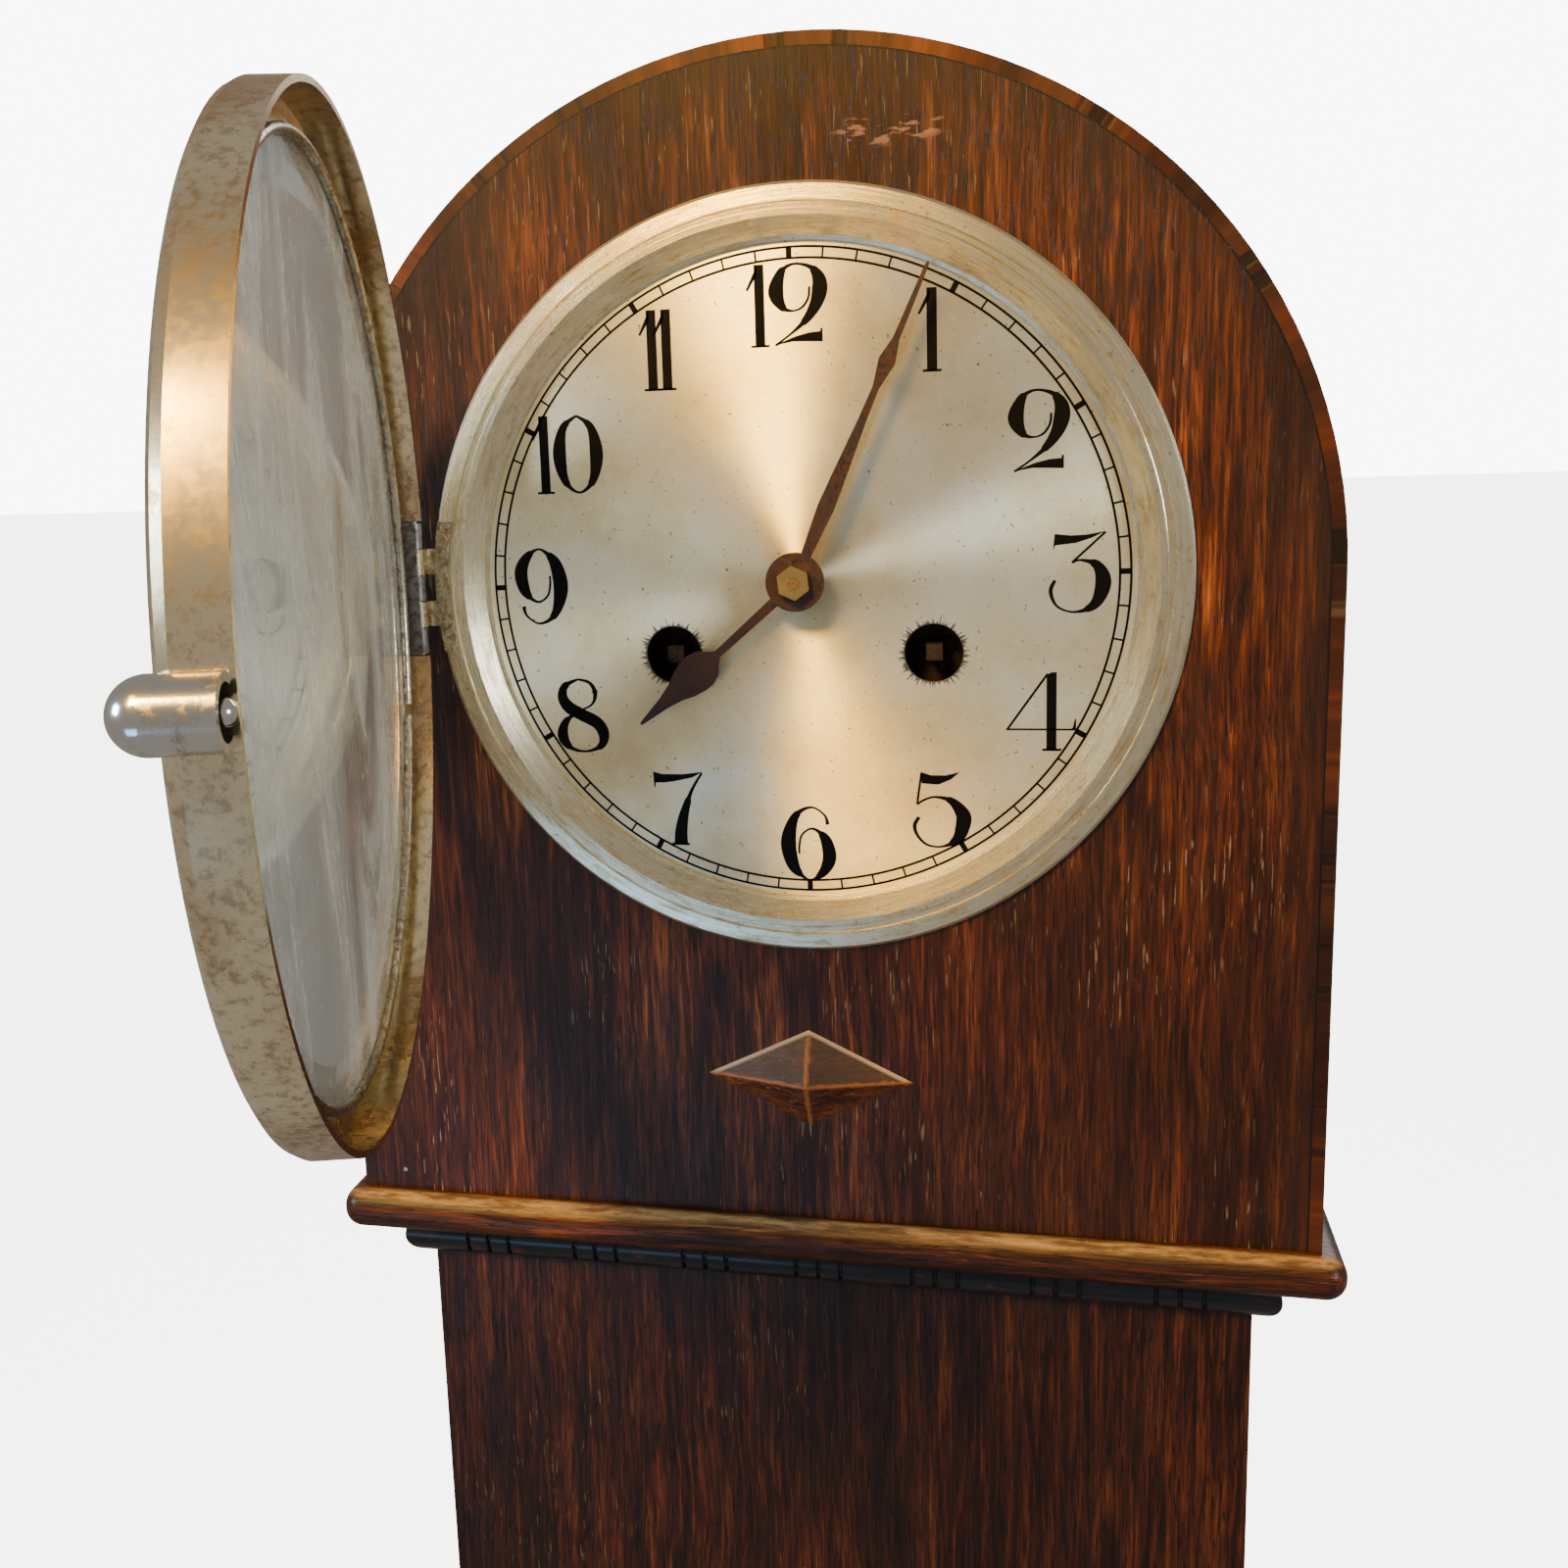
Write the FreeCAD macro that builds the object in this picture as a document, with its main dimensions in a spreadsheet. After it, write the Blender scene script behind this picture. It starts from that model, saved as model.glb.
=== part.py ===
"""Dome-topped oak granddaughter clock: case, glazed bezel door, dial, hands and striking movement.

Millimetres. The origin is the centre of the underside of the base, +Z is up and the dial faces -Y.
"""
import FreeCAD, Part

import math
import os
import re

import Sketcher

Vector = FreeCAD.Vector

# The driving dimensions: name, value, what it is.
DIMENSIONS = [
    ("total_height", 1370, "floor to the top of the dome"),
    ("hood_width", 275, "across the dome"),
    ("hood_depth", 165, "hood front to back"),
    ("hood_drop", 182, "dial centre down to the top of the torus board"),
    ("shell_wall", 3.5, "bent plywood of the dome and hood sides"),
    ("board", 12, "thickness of the hood and trunk fronts"),
    ("side_board", 9, "thickness of the trunk sides"),
    ("back_board", 8, "thickness of the hood back and of its door"),
    ("back_inset", 4.2, "hood back face inside the back plane, room for the hinge knuckles"),
    ("joint_gap", 0.5, "clearance of a panel let into another"),
    ("torus_board", 12, "thickness of the rounded board under the hood"),
    ("torus_overhang", 6.5, "how far that board stands out from the hood"),
    ("torus_corner", 6, "radius of that board's front corners"),
    ("rod_slot", 170, "width of the opening in that board for the gong rods"),
    ("rod_slot_front", 18, "that opening behind the hood front board"),
    ("rod_slot_back", 12, "that opening ahead of the hood back"),
    ("bead_size", 14, "height of the bead moulding"),
    ("bead_pitch", 34, "distance from one triple groove to the next"),
    ("bead_step", 6.5, "distance between the grooves of a triple"),
    ("bead_groove", 1.1, "depth of a groove"),
    ("bead_slit", 0.8, "width of a groove"),
    ("trunk_inset", 15.5, "trunk side inside the hood side"),
    ("hood_step", 13, "hood front ahead of the trunk front"),
    ("plinth_step", 20, "thickness of the plinth boards round the trunk"),
    ("plinth_height", 235, "floor to the top of the plinth"),
    ("plinth_chamfer", 12, "bevel along the top of the plinth"),
    ("base_board", 16, "thickness of the base board"),
    ("lozenge_width", 58, "diamond ornament, point to point across"),
    ("lozenge_height", 28, "diamond ornament, point to point upright"),
    ("lozenge_rise", 8, "how far its apex stands out"),
    ("lozenge_gap", 19.7, "bezel door down to the top of the ornament"),
    ("door_opening_width", 170, "opening in the hood back"),
    ("door_rail", 32, "hood back below that opening"),
    ("door_head", 50, "dial centre up to the top of that opening"),
    ("butt_length", 24, "length of the back door's hinges"),
    ("button_screw", 1.5, "radius of the turn button's screw"),
    ("button_side", 8, "turn button's screw beside the opening"),
    ("button_rise", 20, "turn button above the dial centre"),
    ("seat_room", 15, "great wheels above the seat board"),
    ("seat_behind", 2, "seat board behind the back plate"),
    ("seat_screw", 2, "radius of the screws through the seat board"),
    ("seat_screw_side", 44, "those screws to the side of the dial centre"),
    ("seat_screw_inset", 6, "those screws ahead of the back plate"),
    ("flange_radius", 101.5, "outer radius of the dial surround"),
    ("flange_proud", 2.4, "surround face ahead of the hood front"),
    ("flange_overlap", 8.5, "surround's rim on the hood front"),
    ("surround_slope", 5.4, "how far the surround's wall slopes in to the dial"),
    ("dial_recess", 6, "surround face down to the dial face"),
    ("dial_sheet", 1, "thickness of the dial"),
    ("dial_room", 2, "edge of the dial inside the hole in the hood front"),
    ("winding_hole", 7.8, "radius of the winding holes"),
    ("bezel_over", 4.5, "bezel door outside the surround"),
    ("bezel_gap", 0.5, "closed door in front of the surround face"),
    ("bezel_wall", 1.4, "sheet thickness of the bezel"),
    ("bezel_face", 14.5, "width of the bezel's front"),
    ("bezel_edge", 2.3, "bezel's front ahead of the glass"),
    ("glass_sheet", 3, "thickness of the bevelled glass"),
    ("glass_bevel", 10, "width of the bevel"),
    ("glass_seat", 7, "edge of the glass outside the bezel's inner edge"),
    ("glass_room", 0.8, "closed glass ahead of the tip of the centre arbor"),
    ("ring_wire", 2.2, "thickness of the wire that holds the glass"),
    ("door_angle", 74, "how far the bezel door stands open"),
    ("pin_inset", 0.5, "bezel hinge pin inside the edge of the bezel"),
    ("knuckle_radius", 2.4, "bezel hinge knuckles"),
    ("knuckle_gap", 0.6, "those knuckles ahead of the surround face"),
    ("pin_radius", 1, "bezel hinge pin"),
    ("hinge_length", 36, "bezel hinge, top to bottom"),
    ("running_fit", 0.05, "radial clearance of a pin or arbor in its hole"),
    ("knob_radius", 5.8, "thumb knob of the bezel door"),
    ("minute_short", 0.6, "tip of the minute hand inside the surround"),
    ("hour_short", 28, "hour hand shorter than the minute hand"),
    ("minute_angle", 24.2, "minute hand past twelve"),
    ("hour_angle", 229, "hour hand past twelve"),
    ("hand_sheet", 0.8, "thickness of the hands"),
    ("hand_boss", 7.8, "radius of the hands' bosses"),
    ("hour_lift", 4, "back of the hour hand ahead of the dial"),
    ("hands_apart", 4, "back of the minute hand ahead of the back of the hour hand"),
    ("nut_height", 3, "nut that holds the hands"),
    ("arbor_tip", 0.6, "centre arbor ahead of that nut"),
    ("motion_room", 14, "dial back to front plate"),
    ("plate_sheet", 2.5, "thickness of the movement plates"),
    ("plate_gap", 45, "distance between the plates"),
    ("plate_margin", 1.5, "plates outside the great wheels"),
    ("plate_head", 11.2, "plates above the pallet arbor"),
    ("pendulum_length", 201, "suspension to the middle of the bob"),
    ("pallet_rise", 16.52, "pallet arbor above the escape arbor"),
    ("bob_radius", 22, "pendulum bob"),
    ("winding_side", 35.5, "winding arbors to the side of the dial centre"),
    ("winding_drop", 20, "winding arbors below the dial centre"),
    ("wheel_room", 4.5, "half the gap between the two great wheels"),
    ("drum_room", 2.0, "spring drum inside the edge of its great wheel"),
    ("rod_length", 250, "gong rods"),
    ("pendulum_setback", 14, "back plate's inner face to the pendulum rod"),
    ("centre_arbor", 1.5, "radius of the centre arbor in front of the plate"),
    ("cannon_bore", 2.3, "outer radius of the cannon pinion's pipe"),
    ("hour_pipe", 3.3, "outer radius of the hour wheel's pipe"),
    ("pipe_room", 1.4, "hole in the middle of the dial outside that pipe"),
]

# Places worked out from the driving dimensions.
PLACES = {
    "back": "(hood_depth - hood_step + plinth_step) / 2",
    "hood_front": "back - hood_depth",
    "trunk_front": "hood_front + hood_step",
    "plinth_front": "trunk_front - plinth_step",
    "dome_radius": "hood_width / 2",
    "board_radius": "dome_radius - shell_wall",
    "dial_height": "total_height - dome_radius",
    "hood_bottom": "dial_height - hood_drop",
    "trunk_top": "hood_bottom - torus_board",
    "trunk_half": "dome_radius - trunk_inset",
    "back_panel": "back - back_inset - back_board",
    "surround_hole": "flange_radius - flange_overlap",
    "surround_bore": "surround_hole - surround_slope",
    "surround_face": "hood_front - flange_proud",
    "dial_radius": "surround_hole - dial_room",
    "dial_face": "surround_face + dial_recess",
    "front_plate_face": "dial_face + dial_sheet + motion_room",
    "train_front": "front_plate_face + plate_sheet",
    "train_back": "train_front + plate_gap",
    "minute_lift": "hour_lift + hands_apart",
    "minute_length": "surround_bore - minute_short",
    "hour_length": "minute_length - hour_short",
    "arbor_reach": "minute_lift + hand_sheet + nut_height + arbor_tip",
    "bezel_radius": "flange_radius + bezel_over",
    "bezel_lip": "bezel_radius - bezel_face",
    "bezel_depth": "arbor_reach - dial_recess + glass_room + glass_sheet + bezel_edge - bezel_gap",
    "glass_back": "bezel_depth - bezel_edge - glass_sheet",
    "pin_side": "bezel_radius - pin_inset",
    "pin_ahead": "knuckle_radius + knuckle_gap",
    "bezel_pin": "surround_face - pin_ahead",
    "bezel_back": "pin_ahead - bezel_gap",
    "great_radius": "winding_side - wheel_room",
    "plate_half_width": "winding_side + great_radius + plate_margin",
    "seat_drop": "winding_drop + great_radius + seat_room",
    "seat_top": "dial_height - seat_drop",
    "lozenge_drop": "bezel_radius + lozenge_gap + lozenge_height / 2",
    "door_sill": "hood_drop - door_rail",
    "door_opening_height": "door_sill + door_head",
    "door_hinge_side": "-door_opening_width / 2",
}

ALIASES = {name for name, value, note in DIMENSIONS}
NODES = []
GEAR_PRESSURE = math.radians(20)

# Butt hinges of the back door: pin radius, leaf thickness and width.
BUTT_PIN = 0.9
BUTT_LEAF = 1.0
BUTT_REACH = 12.0

# Teeth of each meshing pair, wheel then pinion, and the modules that don't follow the winding arbors.
GREAT_TEETH = (72, 12)
SECOND_TEETH = (60, 10)
CENTRE_TEETH = (80, 8)
THIRD_TEETH = (80, 8)
STRIKE_TEETH = (60, 8)
FLY_TEETH = (56, 7)
CANNON_TEETH = (36, 12)
HOUR_TEETH = (40, 10)
WHEEL_ADDENDUM = 0.45
PINION_ADDENDUM = 0.8
SECOND_MODULE = 0.6
CENTRE_MODULE = 0.45
THIRD_MODULE = 0.42
FLY_MODULE = 0.5
CANNON_MODULE = 0.5
PIVOT = 0.9
GREAT_BEHIND = 7.0
DRUM_FRONT = 12.0
ESCAPE_TEETH = 40
ESCAPE_RADIUS = 13.0
PALLET_SPAN = 8.5
CRUTCH_DROP = 38.0
RATCHET_TEETH = 24
STRIKE_PINS = 10
STRIKE_PIN_CIRCLE = 13.0
STRIKE_PIN_RADIUS = 0.7
PILLAR_INSET = (8, 10)
PILLAR_RADIUS = 3.6
PILLAR_THREAD = 2.0
HAMMER_BESIDE_BARREL = 14.5
HAMMER_RISE = 20.0
GONG_RADIUS = 1.5
GONG_LEVELS = (8, 18)

doc = FreeCAD.newDocument("granddaughter_clock")


# ---------------------------------------------------------------- sheet and formulas

def make_sheet():
    """One row per driving dimension: its name, its plain number, what it is."""
    table = doc.addObject("Spreadsheet::Sheet", "dims")
    for row, (name, value, note) in enumerate(DIMENSIONS, start=1):
        table.set(f"A{row}", name)
        table.set(f"B{row}", str(value))
        table.set(f"C{row}", note)
        table.setAlias(f"B{row}", name)
    doc.recompute()
    return table


sheet = make_sheet()


def formula(text):
    """Write named places out until the formula holds only cells of the sheet."""
    def swap(match):
        word = match.group(0)
        if word in PLACES:
            return "(" + formula(PLACES[word]) + ")"
        if word in ALIASES:
            return "dims." + word
        return word
    return re.sub(r"[a-z_]+", swap, str(text))


def number(text):
    """The value that a formula has now."""
    return float(sheet.evalExpression(formula(text)))


# ---------------------------------------------------------------- bodies, sketches and features

def new_body(label):
    body = doc.addObject("PartDesign::Body", label)
    body.Label = label
    NODES.append(body)
    return body


def origin_part(body, role):
    return next(item for item in body.Origin.OriginFeatures if item.Role == role)


def place(item, x="0", y="0", z="0"):
    """Tie an object's position to the sheet."""
    for axis, text in (("x", x), ("y", y), ("z", z)):
        item.setExpression(f"Placement.Base.{axis}", formula(text))
    return item


def new_sketch(body, role, name, rise="0"):
    """A sketch on one of the body's own origin planes, or lifted off it along its normal."""
    sketch = body.newObject("Sketcher::SketchObject", f"{body.Name}_{name}")
    sketch.AttachmentSupport = [(origin_part(body, role), "")]
    sketch.MapMode = "FlatFace"
    if rise != "0":
        sketch.setExpression("AttachmentOffset.Base.z", formula(rise))
    return sketch


def tie(sketch, kind, place_of, text):
    """Add a driving constraint whose value follows a formula."""
    index = sketch.addConstraint(Sketcher.Constraint(kind, *place_of, number(text)))
    sketch.setExpression(f"Constraints[{index}]", formula(text))


def tie_point(sketch, geometry, end, x, y):
    tie(sketch, "DistanceX", (-1, 1, geometry, end), x)
    tie(sketch, "DistanceY", (-1, 1, geometry, end), y)


def outline(sketch, corners):
    """A closed straight-sided outline whose corners follow their formulas."""
    spots = [Vector(number(x), number(y), 0) for x, y in corners]
    lines = [sketch.addGeometry(Part.LineSegment(spot, spots[(i + 1) % len(spots)]), False)
             for i, spot in enumerate(spots)]
    for i, line in enumerate(lines):
        sketch.addConstraint(Sketcher.Constraint("Coincident", line, 2, lines[(i + 1) % len(lines)], 1))
    for line, (x, y) in zip(lines, corners):
        tie_point(sketch, line, 1, x, y)


def box_outline(sketch, left, right, bottom, top):
    outline(sketch, [(left, bottom), (right, bottom), (right, top), (left, top)])


def circle(sketch, radius, x="0", y="0"):
    centre = Vector(number(x), number(y), 0)
    ring = sketch.addGeometry(Part.Circle(centre, Vector(0, 0, 1), number(radius)), False)
    tie(sketch, "Radius", (ring,), radius)
    if (x, y) == ("0", "0"):
        sketch.addConstraint(Sketcher.Constraint("Coincident", ring, 3, -1, 1))
    else:
        tie_point(sketch, ring, 3, x, y)


def arch_outline(sketch, radius, drop):
    """A round-topped outline: a half circle about the origin on straight sides that end at -drop."""
    half, low = number(radius), -number(drop)
    dome = Part.Circle(Vector(), Vector(0, 0, 1), half)
    arc = sketch.addGeometry(Part.ArcOfCircle(dome, 0, math.pi), False)
    corners = [Vector(-half, 0, 0), Vector(-half, low, 0), Vector(half, low, 0), Vector(half, 0, 0)]
    lines = [sketch.addGeometry(Part.LineSegment(*pair), False) for pair in zip(corners, corners[1:])]
    for first, end, second in ((arc, 2, lines[0]), (lines[0], 2, lines[1]), (lines[1], 2, lines[2])):
        sketch.addConstraint(Sketcher.Constraint("Coincident", first, end, second, 1))
    sketch.addConstraint(Sketcher.Constraint("Coincident", lines[2], 2, arc, 1))
    sketch.addConstraint(Sketcher.Constraint("Coincident", arc, 3, -1, 1))
    sketch.addConstraint(Sketcher.Constraint("PointOnObject", arc, 1, -1))
    sketch.addConstraint(Sketcher.Constraint("PointOnObject", arc, 2, -1))
    tie(sketch, "Radius", (arc,), radius)
    tie_point(sketch, lines[1], 1, f"-({radius})", f"-({drop})")
    tie_point(sketch, lines[1], 2, radius, f"-({drop})")


def pad(body, sketch, length, reverse=False, middle=False):
    feature = body.newObject("PartDesign::Pad", f"{sketch.Name}_pad")
    feature.Profile = sketch
    feature.Reversed = reverse
    feature.Midplane = middle
    feature.setExpression("Length", formula(length))
    return feature


def pocket(body, sketch, depth, reverse=False, middle=False):
    """Cut, and make sure that something was cut."""
    doc.recompute()
    before = body.Shape.Volume
    feature = body.newObject("PartDesign::Pocket", f"{sketch.Name}_cut")
    feature.Profile = sketch
    feature.Reversed = reverse
    feature.Midplane = middle
    feature.setExpression("Length", formula(depth))
    doc.recompute()
    if body.Shape.Volume > before - 1e-6:
        raise RuntimeError(f"{sketch.Name} cuts nothing")
    return feature


def revolve(body, sketch, axis, angle=360):
    feature = body.newObject("PartDesign::Revolution", f"{sketch.Name}_turned")
    feature.Profile = sketch
    feature.ReferenceAxis = (origin_part(body, axis), [""])
    feature.Angle = angle
    return feature


def panel(label, role, corners, length, x="0", y="0", z="0", reverse=False):
    """A board: one straight-sided outline padded to its thickness."""
    body = new_body(label)
    sketch = new_sketch(body, role, "outline")
    outline(sketch, corners)
    pad(body, sketch, length, reverse)
    place(body, x, y, z)
    return body


def solid(label, shape, x="0", y="0", z="0"):
    """A sub-part whose shape is made by the code below; its place follows the sheet."""
    item = doc.addObject("Part::Feature", label)
    item.Label = label
    item.Shape = shape
    place(item, x, y, z)
    NODES.append(item)
    return item


# ---------------------------------------------------------------- plain shapes

def rod(radius, start, end, x=0.0, z=0.0):
    """A cylinder along +Y from start to end."""
    return Part.makeCylinder(radius, end - start, Vector(x, start, z), Vector(0, 1, 0))


def upright(radius, low, high, x=0.0, y=0.0):
    """A cylinder along +Z."""
    return Part.makeCylinder(radius, high - low, Vector(x, y, low))


def block(x_span, y_span, z_span):
    spans = (x_span, y_span, z_span)
    size = [high - low for low, high in spans]
    return Part.makeBox(*size, Vector(*[low for low, high in spans]))


def fuse(shapes):
    return shapes[0].multiFuse(shapes[1:]).removeSplitter()


def slab(points, start, end):
    """A flat plate from start to end along Y, its outline given as (x, z)."""
    corners = [Vector(x, start, z) for x, z in points]
    return Part.Face(Part.makePolygon(corners + corners[:1])).extrude(Vector(0, end - start, 0))


def polar(radius, angle):
    """The (x, z) of a point; the angle is in radians from +X towards +Z."""
    return radius * math.cos(angle), radius * math.sin(angle)


def gear(teeth, module, start, end, phase=0.0, addendum=WHEEL_ADDENDUM, slack=0.12):
    """An involute gear along +Y with a tooth centred on the angle phase."""
    pitch = teeth * module / 2
    base = pitch * math.cos(GEAR_PRESSURE)
    root = pitch - 1.05 * module
    tip = pitch + addendum * module
    at_pitch = math.pi / 2 / teeth - slack / 2 / pitch

    def half_tooth(radius):
        turn = math.acos(min(1.0, base / radius))
        return at_pitch + math.tan(GEAR_PRESSURE) - GEAR_PRESSURE - math.tan(turn) + turn

    radii = [root, base, pitch, tip] if base > root else [root, pitch, tip]
    flank = [(radius, half_tooth(radius)) for radius in radii]
    points = []
    for tooth in range(teeth):
        middle = phase + math.tau * tooth / teeth
        points += [polar(radius, middle - half) for radius, half in flank]
        points += [polar(radius, middle + half) for radius, half in reversed(flank)]
    return slab(points, start, end)


def mesh_phase(teeth_a, phase_a, teeth_b, line):
    """Phase of gear b so that its teeth meet the gaps of gear a; line is the direction from a to b."""
    step_a = math.tau / teeth_a
    step_b = math.tau / teeth_b
    along = (line - phase_a) / step_a
    return line + math.pi - (0.5 - along) * step_b


def meet(a, reach_a, b, reach_b, side):
    """The point at the given distances from a and b, on the chosen side of the line from a to b."""
    dx, dz = b[0] - a[0], b[1] - a[1]
    apart = math.hypot(dx, dz)
    along = (apart**2 + reach_a**2 - reach_b**2) / 2 / apart
    off = side * math.sqrt(reach_a**2 - along**2)
    return a[0] + (along * dx - off * dz) / apart, a[1] + (along * dz + off * dx) / apart


def direction(a, b):
    return math.atan2(b[1] - a[1], b[0] - a[0])


# ---------------------------------------------------------------- case

def hood_front():
    body = new_body("hood_front")
    sketch = new_sketch(body, "XZ_Plane", "outline")
    arch_outline(sketch, "board_radius - 0.02", "hood_drop")
    circle(sketch, "surround_hole")
    pad(body, sketch, "board", reverse=True)
    place(body, y="hood_front", z="dial_height")


def hood_shell():
    """Bent plywood: the dome and both sides in one piece, open front and back."""
    body = new_body("hood_shell")
    outer = new_sketch(body, "XZ_Plane", "outside")
    arch_outline(outer, "dome_radius", "hood_drop")
    pad(body, outer, "hood_depth", reverse=True)
    inner = new_sketch(body, "XZ_Plane", "inside")
    arch_outline(inner, "board_radius", "hood_drop + 1")
    pocket(body, inner, "hood_depth * 2", middle=True)
    place(body, y="hood_front", z="dial_height")


def hood_back():
    body = new_body("hood_back")
    sketch = new_sketch(body, "XZ_Plane", "outline")
    arch_outline(sketch, "board_radius - 0.02", "hood_drop")
    box_outline(sketch, "-door_opening_width / 2", "door_opening_width / 2",
                "-door_sill", "door_opening_height - door_sill")
    circle(sketch, "button_screw + running_fit", "door_opening_width / 2 + button_side", "button_rise")
    pad(body, sketch, "back_board", reverse=True)
    place(body, y="back_panel", z="dial_height")


def back_door():
    half = "(door_opening_width / 2 - 2 * joint_gap)"
    corners = [(f"-{half}", "-door_sill + 2 * joint_gap"), (half, "-door_sill + 2 * joint_gap"),
               (half, "door_opening_height - door_sill - 2 * joint_gap"),
               (f"-{half}", "door_opening_height - door_sill - 2 * joint_gap")]
    panel("back_door", "XZ_Plane", corners, "back_board", y="back_panel", z="dial_height", reverse=True)


def butt_leaf(side, middle, spans, bore):
    """One leaf of a butt hinge turning about Z: the way it lies, its middle, its knuckles and their hole."""
    knuckle = number("back_inset") / 2 - 0.1
    half = number("butt_length") / 2
    sheet_metal = (-knuckle - 0.1, BUTT_LEAF - knuckle - 0.1)
    across = sorted((side * (knuckle + 0.3), side * BUTT_REACH))
    leaf = block(across, sheet_metal, (middle - half, middle + half))
    arms = [block(sorted((0, side * (knuckle + 0.5))), sheet_metal, (middle + low, middle + high))
            for low, high in spans]
    barrels = [upright(knuckle, middle + low, middle + high) for low, high in spans]
    return fuse([leaf, *arms, *barrels]).cut(upright(bore, middle - half - 1, middle + half + 1))


def back_door_hinges():
    """Two butt hinges: the leaves and pins on the hood back, and the leaves on the door."""
    sixth = number("butt_length") / 6
    middle = number("(door_head - door_sill) / 2")
    heights = [middle + side * number("door_opening_height") * 0.34 for side in (-1, 1)]
    outer_knuckles = [(-3 * sixth, -sixth - 0.1), (sixth + 0.1, 3 * sixth)]
    pins = [upright(BUTT_PIN, height - 3 * sixth, height + 3 * sixth) for height in heights]
    fixed = [butt_leaf(-1, height, outer_knuckles, BUTT_PIN).fuse(axle).removeSplitter()
             for height, axle in zip(heights, pins)]
    leaves = [butt_leaf(1, height, [(-sixth, sixth)], BUTT_PIN + number("running_fit")) for height in heights]
    at = {"x": "door_hinge_side", "y": "back - back_inset / 2", "z": "dial_height"}
    solid("back_door_hinges", Part.makeCompound(fixed), **at)
    solid("back_door_leaves", Part.makeCompound(leaves), **at)


def turn_button():
    """A brass button on the hood back that turns over the edge of the back door."""
    shank = number("button_screw")
    plate = slab([(-4, -16), (4, -16), (4, 10), (-4, 10)], 0.05, 2.0)
    screw = rod(shank, -5.0, 2.0)
    head = rod(2 * shank, 2.0, 3.2)
    solid("turn_button", fuse([plate, screw, head]),
          "door_opening_width / 2 + button_side", "back - back_inset", "dial_height + button_rise")


def torus_board():
    """The board under the hood, rounded along its front and ends, open in the middle for the gong rods."""
    body = new_body("torus_board")
    sketch = new_sketch(body, "XY_Plane", "outline")
    half = "(dome_radius + torus_overhang)"
    box_outline(sketch, f"-{half}", half, "hood_front - torus_overhang", "back")
    box_outline(sketch, "-rod_slot / 2", "rod_slot / 2", "hood_front + board + rod_slot_front",
                "back_panel - rod_slot_back")
    pad(body, sketch, "torus_board")
    doc.recompute()
    low_y = number("hood_front - torus_overhang") + 0.1
    half_width = number(half) - 0.1
    corners = [index for index, box in edge_boxes(body) if box.ZLength > 1 and box.YMax < low_y]
    round_edges(body, "torus_corners", corners, "torus_corner")
    doc.recompute()
    rim = [index for index, box in edge_boxes(body)
           if box.ZLength < 0.1 and (box.YMin < low_y or box.XMin > half_width or box.XMax < -half_width)]
    round_edges(body, "torus_round", rim, "torus_board * 0.46")
    place(body, z="trunk_top")


def edge_boxes(body):
    """The bounding box of each edge, with the edge's number."""
    return [(index, edge.BoundBox) for index, edge in enumerate(body.Shape.Edges, start=1)]


def round_edges(body, name, numbers, radius):
    base = body.Tip
    rounding = body.newObject("PartDesign::Fillet", name)
    rounding.Base = (base, [f"Edge{index}" for index in numbers])
    rounding.setExpression("Radius", formula(radius))


def trim(bar, half, thick, low, high, mitred_ends):
    """Trim both ends of a bar that lies along X: square, or at 45 degrees where it is mitred."""
    for side in (-1, 1):
        slope = thick if side in mitred_ends else 0
        far = side * (half + 3 * thick)
        wedge = [Vector(side * half, 1, low), Vector(side * half, 0, low),
                 Vector(side * (half + slope), -thick - 0.01, low), Vector(far, -thick - 0.01, low),
                 Vector(far, 1, low)]
        bar = bar.cut(Part.Face(Part.makePolygon(wedge + wedge[:1])).extrude(Vector(0, 0, high - low)))
    return bar


def bead(length, mitred_ends):
    """A half-round moulding along X with triple grooves, its middle at X = 0 and its flat back on Y = 0."""
    radius = number("bead_size") / 2
    cut = number("bead_groove")
    slit = number("bead_slit")
    step = number("bead_step")
    pitch = number("bead_pitch")
    half = length / 2
    count = int((half - step - 3) / pitch)
    profile = [(-half - radius, 0), (-half - radius, radius)]
    for triple in range(-count, count + 1):
        for place_in_triple in (-1, 0, 1):
            middle = triple * pitch + place_in_triple * step
            profile += [(middle - slit, radius), (middle - slit / 2, radius - slit / 2),
                        (middle - slit / 2, radius - cut), (middle + slit / 2, radius - cut),
                        (middle + slit / 2, radius - slit / 2), (middle + slit, radius)]
    profile += [(half + radius, radius), (half + radius, 0)]
    corners = [Vector(x, 0, z) for x, z in profile]
    bar = Part.Face(Part.makePolygon(corners + corners[:1])).revolve(Vector(), Vector(1, 0, 0), 180)
    return trim(bar, half, radius, -radius - 1, radius + 1, mitred_ends)


def bead_mouldings():
    """Bead mouldings under the torus board, mitred round the trunk front and both sides."""
    height = "trunk_top - bead_size / 2"
    solid("bead_front", bead(number("2 * trunk_half"), (-1, 1)), "0", "trunk_front", height)
    for label, turn, x in (("bead_left", -90, "-trunk_half"), ("bead_right", 90, "trunk_half")):
        side = bead(number("back - trunk_front"), (1,) if turn < 0 else (-1,))
        side.rotate(Vector(), Vector(0, 0, 1), turn)
        solid(label, side, x, "(back + trunk_front) / 2", height)


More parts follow.
